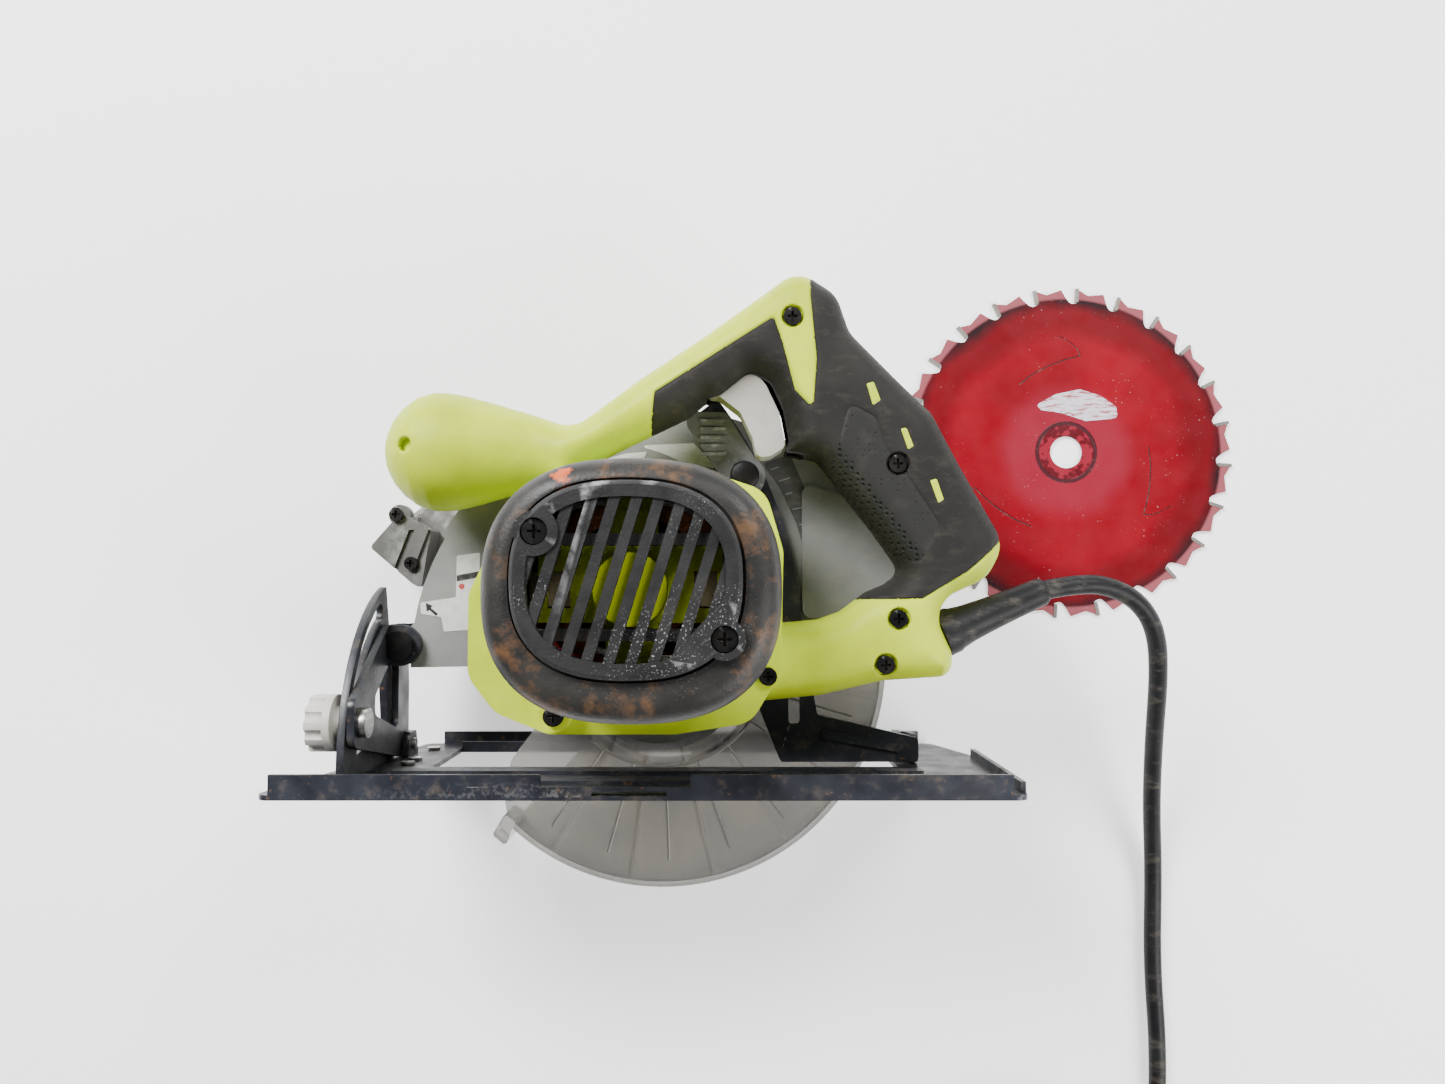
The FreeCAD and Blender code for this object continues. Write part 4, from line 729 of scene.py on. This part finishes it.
def handle_surface():
    """Points, half-thickness and triangles of the handle, with the region of each triangle."""
    outline = anticlockwise(rounded(HANDLE, 14, 1.3))
    gap = anticlockwise(rounded(GAP, 5, 1.1))
    cover = anticlockwise(rounded(COVER, 1.2, 1.1))
    panel = anticlockwise(rounded(PANEL, 3, 1.1))
    marks = [anticlockwise(rounded(mark, 0.5, 0.8)) for mark in MARKS]
    foot = anticlockwise(rounded(MOTOR_FOOT, 12, 2))
    spread = np.arange(-116, 148, 1.9)
    rise = np.arange(-24, 170, 1.9)
    grid = np.array([(x + 0.9 * (n % 2), y) for n, y in enumerate(rise) for x in spread])
    rings = []
    for depth in (0.12, 0.4, 0.9, 1.7, 2.8, 4.2, 6.0):
        for loop, way in ((outline, 1), (gap, -1)):
            ring_points = inset(loop, way * depth)
            fair = np.abs(distance(ring_points, loop) - depth) < 0.1 * depth + 0.02
            rings.append(ring_points[fair])
    for loop in [cover, panel] + marks:
        for step in (-0.7, -0.35, 0.35, 0.7):
            rings.append(inset(loop, step))
    for x, y in SCREWS:
        for radius in (3.9, 4.25, 4.5, 5.0):
            turn = np.linspace(0, 2 * math.pi, 28, endpoint=False)
            rings.append(np.stack([x + radius * np.cos(turn), y + radius * np.sin(turn)], 1))
    turn = np.linspace(0, 2 * math.pi, 20, endpoint=False)
    for radius in (0.8, 1.8, 2.5, 3.0, 3.6):
        rings.append(np.stack([DIMPLE[0] + radius * np.cos(turn),
                               DIMPLE[1] + radius * np.sin(turn)], 1))
    loose = np.vstack([grid] + rings)
    reach = np.minimum(distance(loose, outline), distance(loose, gap))
    kept = inside(loose, outline) & ~inside(loose, gap) & (reach > 0.1)
    kept &= ~inside(loose, inset(foot, 4))
    borders = [cover] + [panel] + marks
    clipped = []
    for loop in borders:
        clear = np.minimum(distance(loop, outline), distance(loop, gap)) > 0.3
        clear &= inside(loop, outline) & ~inside(loop, gap)
        clipped.append(loop[clear])
    loose = np.vstack([loose[kept]] + clipped)
    points, triangles = triangulate([outline, gap], loose)
    middle = points[triangles].mean(axis=1)
    good = inside(middle, outline) & ~inside(middle, gap) & ~inside(middle, inset(foot, 2.5))
    triangles = triangles[good]
    middle = middle[good]
    edge = np.minimum(distance(points, outline), distance(points, gap))
    inward = np.clip(edge / 13, 0, 1)
    body = 18 * (1 - (1 - inward) ** 2.3) ** (1 / 2.3)
    profile = np.array(BULB)
    radius = np.interp(points[:, 0], profile[:, 0], profile[:, 1])
    bulb = np.sqrt(np.maximum(radius ** 2 - (points[:, 1] - BULB_Y) ** 2, 0))
    share = np.clip((points[:, 0] + 62) / 30, 0, 1)
    share = share * share * (3 - 2 * share)
    height = bulb * (1 - share) + body * share
    for loop, depth, width in [(cover, 0.8, 0.55), (panel, 0.35, 0.5)] + [
            (mark, 0.3, 0.35) for mark in marks]:
        height -= depth * np.exp(-(distance(points, loop) / width) ** 2) * (height > 1)
    for x, y in SCREWS:
        away = np.hypot(points[:, 0] - x, points[:, 1] - y)
        height -= np.interp(away, [4.25, 4.5, 5.0], [2.7, 0.5, 0.0])
    away = np.hypot(points[:, 0] - DIMPLE[0], points[:, 1] - DIMPLE[1])
    height -= np.interp(away, [0, 2.5, 3.0, 3.6], [5.0, 4.5, 0.6, 0])
    height = np.maximum(height, 0)
    height = np.where(inside(points, np.array(TRIGGER_ROOM, float)),
                      np.maximum(height, 8.8), height)
    region = np.zeros(len(triangles), int)
    region[inside(middle, cover)] = 1
    region[inside(middle, panel)] = 2
    for mark in marks:
        region[inside(middle, mark)] = 3
    return points, height, triangles, region


def handle_part(name, surface, wanted, sides, looks, replaced):
    """One piece of the handle's surface: the wanted regions, on one or both sides."""
    points, height, triangles, region = surface
    mesh_points = []
    faces = []
    tags = []
    for side in sides:
        start = len(mesh_points)
        used = np.isin(region, wanted)
        numbers = np.unique(triangles[used])
        place_of = {int(old): start + new for new, old in enumerate(numbers)}
        mesh_points += [(points[n][0], points[n][1], HANDLE_MID + side * height[n])
                        for n in numbers]
        for triangle, kind in zip(triangles[used], region[used]):
            face = [place_of[int(n)] for n in triangle]
            faces.append(face if side > 0 else face[::-1])
            tags.append(wanted.index(kind))
    return piece(name, mesh_points, faces, looks, "saw_body", replaced,
                 HANDLE_SHARP, tags)


def build_handle():
    surface = handle_surface()
    handle_part("handle_near", surface, [0], [1], [LIME], ["handle_shell_left"])
    handle_part("handle_far", surface, [0], [-1], [LIME], ["handle_shell_right"])
    handle_part("handle_cover", surface, [1, 2], [1, -1], [GRIP, GRIP_ROUGH],
                ["handle_grip"])
    handle_part("handle_marks", surface, [3], [1, -1], [LIME_MARK],
                ["grip_marks"])


build_handle()


# ---- labels and small trim ----------------------------------------------------------
def patch(name, outline, low, high, look, body, slot, radius=0.6):
    """A thin plate between two heights, with its corners rounded."""
    loop = anticlockwise(rounded(outline, radius, 1.0))
    return loft(name, loop, [(low, 0), (high, 0.0)], look, body)


GUARD_FACE = 60.05
DOT_RADIUS = 1.3


def build_labels():
    """Plain patches where the guard carries printed notes."""
    near = GUARD_FACE
    patch("guard_label", [(-91.0, 47.5), (-80.7, 48.9), (-81.3, 15.0), (-96.4, 13.9),
                          (-97.6, 20.4), (-106.6, 21.8), (-107.0, 26.7), (-91.2, 29.1)],
          near - 0.2, near + 0.15, PAPER, "saw_body", "guard_casting")
    patch("guard_label_band", [(-90.9, 38.8), (-81.1, 40.6), (-81.3, 37.9), (-90.9, 36.1)],
          near, near + 0.25, INK, "saw_body", "guard_casting", 0.1)
    ring_points = [(-88.7 + DOT_RADIUS * math.cos(n * math.pi / 6),
                    33.9 + DOT_RADIUS * math.sin(n * math.pi / 6)) for n in range(12)]
    patch("guard_label_dot", ring_points, near, near + 0.25, WARN, "saw_body", "guard_casting",
          0.1)
    patch("guard_label_arrow", [(-104.5, 26.7), (-101.6, 25.4), (-102.3, 24.4), (-99.0, 21.8),
                                (-99.9, 20.9), (-103.0, 23.5), (-104.1, 22.6)],
          near, near + 0.25, INK, "saw_body", "guard_casting", 0.1)
    patch("guard_note", [(-10.8, 96.5), (13.9, 97.6), (25.5, 86.3), (12.4, 87.4), (1.5, 92.5)],
          near - 0.2, near + 0.15, PAPER, "saw_body", "guard_casting")
    patch("guard_note_front", [(-29.3, 89.2), (-16.6, 92.9), (-6.6, 93.8), (-9.3, 88.7),
                               (-23.9, 85.8)],
          near - 0.2, near + 0.15, PAPER, "saw_body", "guard_casting")


build_labels()


SCALE_TICKS = 9
CAP_RADIUS = 6.2


def build_guard_scale():
    """The cutting-depth scale: a darker raised band on the guard with short ticks."""
    inner = [(44.9, 88.5), (52.7, 76.8), (59.5, 61.9), (64.9, 44.2), (68.2, 19.1)]
    outer = [(56.9, 92.6), (62.3, 79.6), (69.0, 63.2), (73.0, 44.2), (75.9, 23.2)]
    patch("guard_scale", inner + outer[::-1], 59.9, 60.45, SCALE, "saw_body", "guard_casting", 1.5)
    spans = len(inner) - 1
    for number in range(SCALE_TICKS):
        along = spans * (number + 0.6) / SCALE_TICKS
        first = min(int(along), spans - 1)
        here = Vector(inner[first]).lerp(Vector(inner[first + 1]), along - first)
        there = Vector(outer[first]).lerp(Vector(outer[first + 1]), along - first)
        start = here.lerp(there, 0.12)
        stop = here.lerp(there, 0.62 if number % 2 else 0.42)
        side = (stop - start).normalized().orthogonal() * 0.25
        patch(f"guard_tick_{number}", [start - side, stop - side, stop + side, start + side],
              60.4, 60.65, TICK, "saw_body", "guard_casting", 0.1)


def build_bolt_cap():
    """The black moulded cap over the depth lock's bolt."""
    middle = (Vector(joints["depth_lock_turn"]["pos_m"]) - SPINDLE) * 1000
    ring = [(middle.x + CAP_RADIUS * math.cos(n * math.pi / 24),
             middle.y + CAP_RADIUS * math.sin(n * math.pi / 24)) for n in range(48)]
    loft("depth_bolt_cap", ring, [(78.2, 0), (80.6, 0), (81.3, 0.25), (81.7, 0.9)], BLACK_SCREW,
         "depth_lock_lever")


build_guard_scale()
build_bolt_cap()


def tube(name, path, radius, look, body, around=10):
    """A bent wire along a path of points."""
    line = [Vector(p) for p in path]
    points = []
    for i, here in enumerate(line):
        ahead = line[min(i + 1, len(line) - 1)] - line[max(i - 1, 0)]
        turn = ahead.to_track_quat("Z", "Y")
        for n in range(around):
            angle = 2 * math.pi * n / around
            points.append(here + turn @ Vector((radius * math.cos(angle),
                                                radius * math.sin(angle), 0)))
    faces = ringed_faces(len(line), around)
    return piece(name, points, faces, look, body, (), TUBE_SHARP)


def arc_points(radius, start, end, height, step=4.0):
    count = max(2, int(abs(end - start) / step))
    turn = [math.radians(start + (end - start) * n / count) for n in range(count + 1)]
    return [(radius * math.cos(a), radius * math.sin(a), height) for a in turn]


RIB_TOP = 51.6
RIB_RADII = (47, 60, 74, 88)


def build_guard_ribs():
    """Moulded ribs on the outer face of the smoked guard."""
    for number, angle in enumerate(range(236, 372, 18)):
        turn = math.radians(angle)
        line = [(r * math.cos(turn), r * math.sin(turn), RIB_TOP) for r in RIB_RADII]
        tube(f"guard_rib_{number}", line, 0.5, SMOKED_RIB, "swing_guard", 8)
    tube("guard_ring_inner", arc_points(RIB_RADII[0], 229, 370, RIB_TOP), 0.8, SMOKED_RIB,
         "swing_guard", 8)


def build_leads():
    """The motor's leads, seen through the vents."""
    runs = (("white", (0.62, 0.60, 0.56), [(-34, 58, 165), (-24, 62, 168), (-8, 64, 167),
                                           (8, 63, 168), (22, 58, 165)]),
            ("red", (0.42, 0.02, 0.02), [(24, 54, 164), (27, 44, 168), (29, 32, 166),
                                         (26, 20, 163)]),
            ("red_low", (0.42, 0.02, 0.02), [(-38, 30, 165), (-36, 18, 168), (-28, 10, 168),
                                             (-14, 7, 166)]),
            ("white_low", (0.62, 0.60, 0.56), [(-18, 12, 164), (-4, 8, 168), (10, 9, 168),
                                               (18, 15, 164)]))
    for name, colour, line in runs:
        look = plastic(f"lead_{name}", colour, tuple(0.8 * c for c in colour), 0.4, dust_and_shade=0.2)
        curve = [Vector(p) for p in line]
        path = []
        for i in range(len(curve) - 1):
            path += [curve[i].lerp(curve[i + 1], n / 4) for n in range(4)]
        path.append(curve[-1])
        tube(f"lead_{name}", path, 1.3, look, "saw_body")


def build_trigger_pin():
    """The trigger's pin, with its ends broken, between the handle's shells."""
    turned("trigger_pivot", [(0, 2.2), (0.05, 2.5), (0.95, 2.5), (1, 2.2)], (25, 116.5, 84),
           (25, 116.5, 102), BRIGHT, "saw_body", ["trigger_pin"])


SLOT_STARTS = (124, 244, 4)
SLOT_RADII = (37, 61)


def build_blade_marks():
    """The rubbed print on the loose blade and the resin in its three slots."""
    middle = (Vector(BLADE_CENTRE) - SPINDLE) * 1000
    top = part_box("saw_blade")[1][2] * 1000
    worn = [(-15, 23.5), (-5, 29), (7, 31.5), (17, 28.5), (25, 23), (26, 17), (10, 15.5),
            (-2, 19.5), (-12, 21)]
    patch("blade_patch", [(middle.x + x, middle.y + y) for x, y in worn], top - 0.05, top + 0.12,
          WORN_PRINT, "loose_blade", "red_blade", 2.0)
    for number, start in enumerate(SLOT_STARTS):
        turns = [math.radians(start + 4 - 52 * n / 16) for n in range(17)]
        sector = [(middle.x + r * math.cos(a), middle.y + r * math.sin(a))
                  for r, side in zip(SLOT_RADII, (turns, turns[::-1])) for a in side]
        patch(f"blade_slot_fill_{number}", sector, top - 0.95, top - 0.35, SLOT_FILL,
              "loose_blade", "red_blade", 0.3)


build_guard_ribs()
build_leads()
build_trigger_pin()
build_blade_marks()
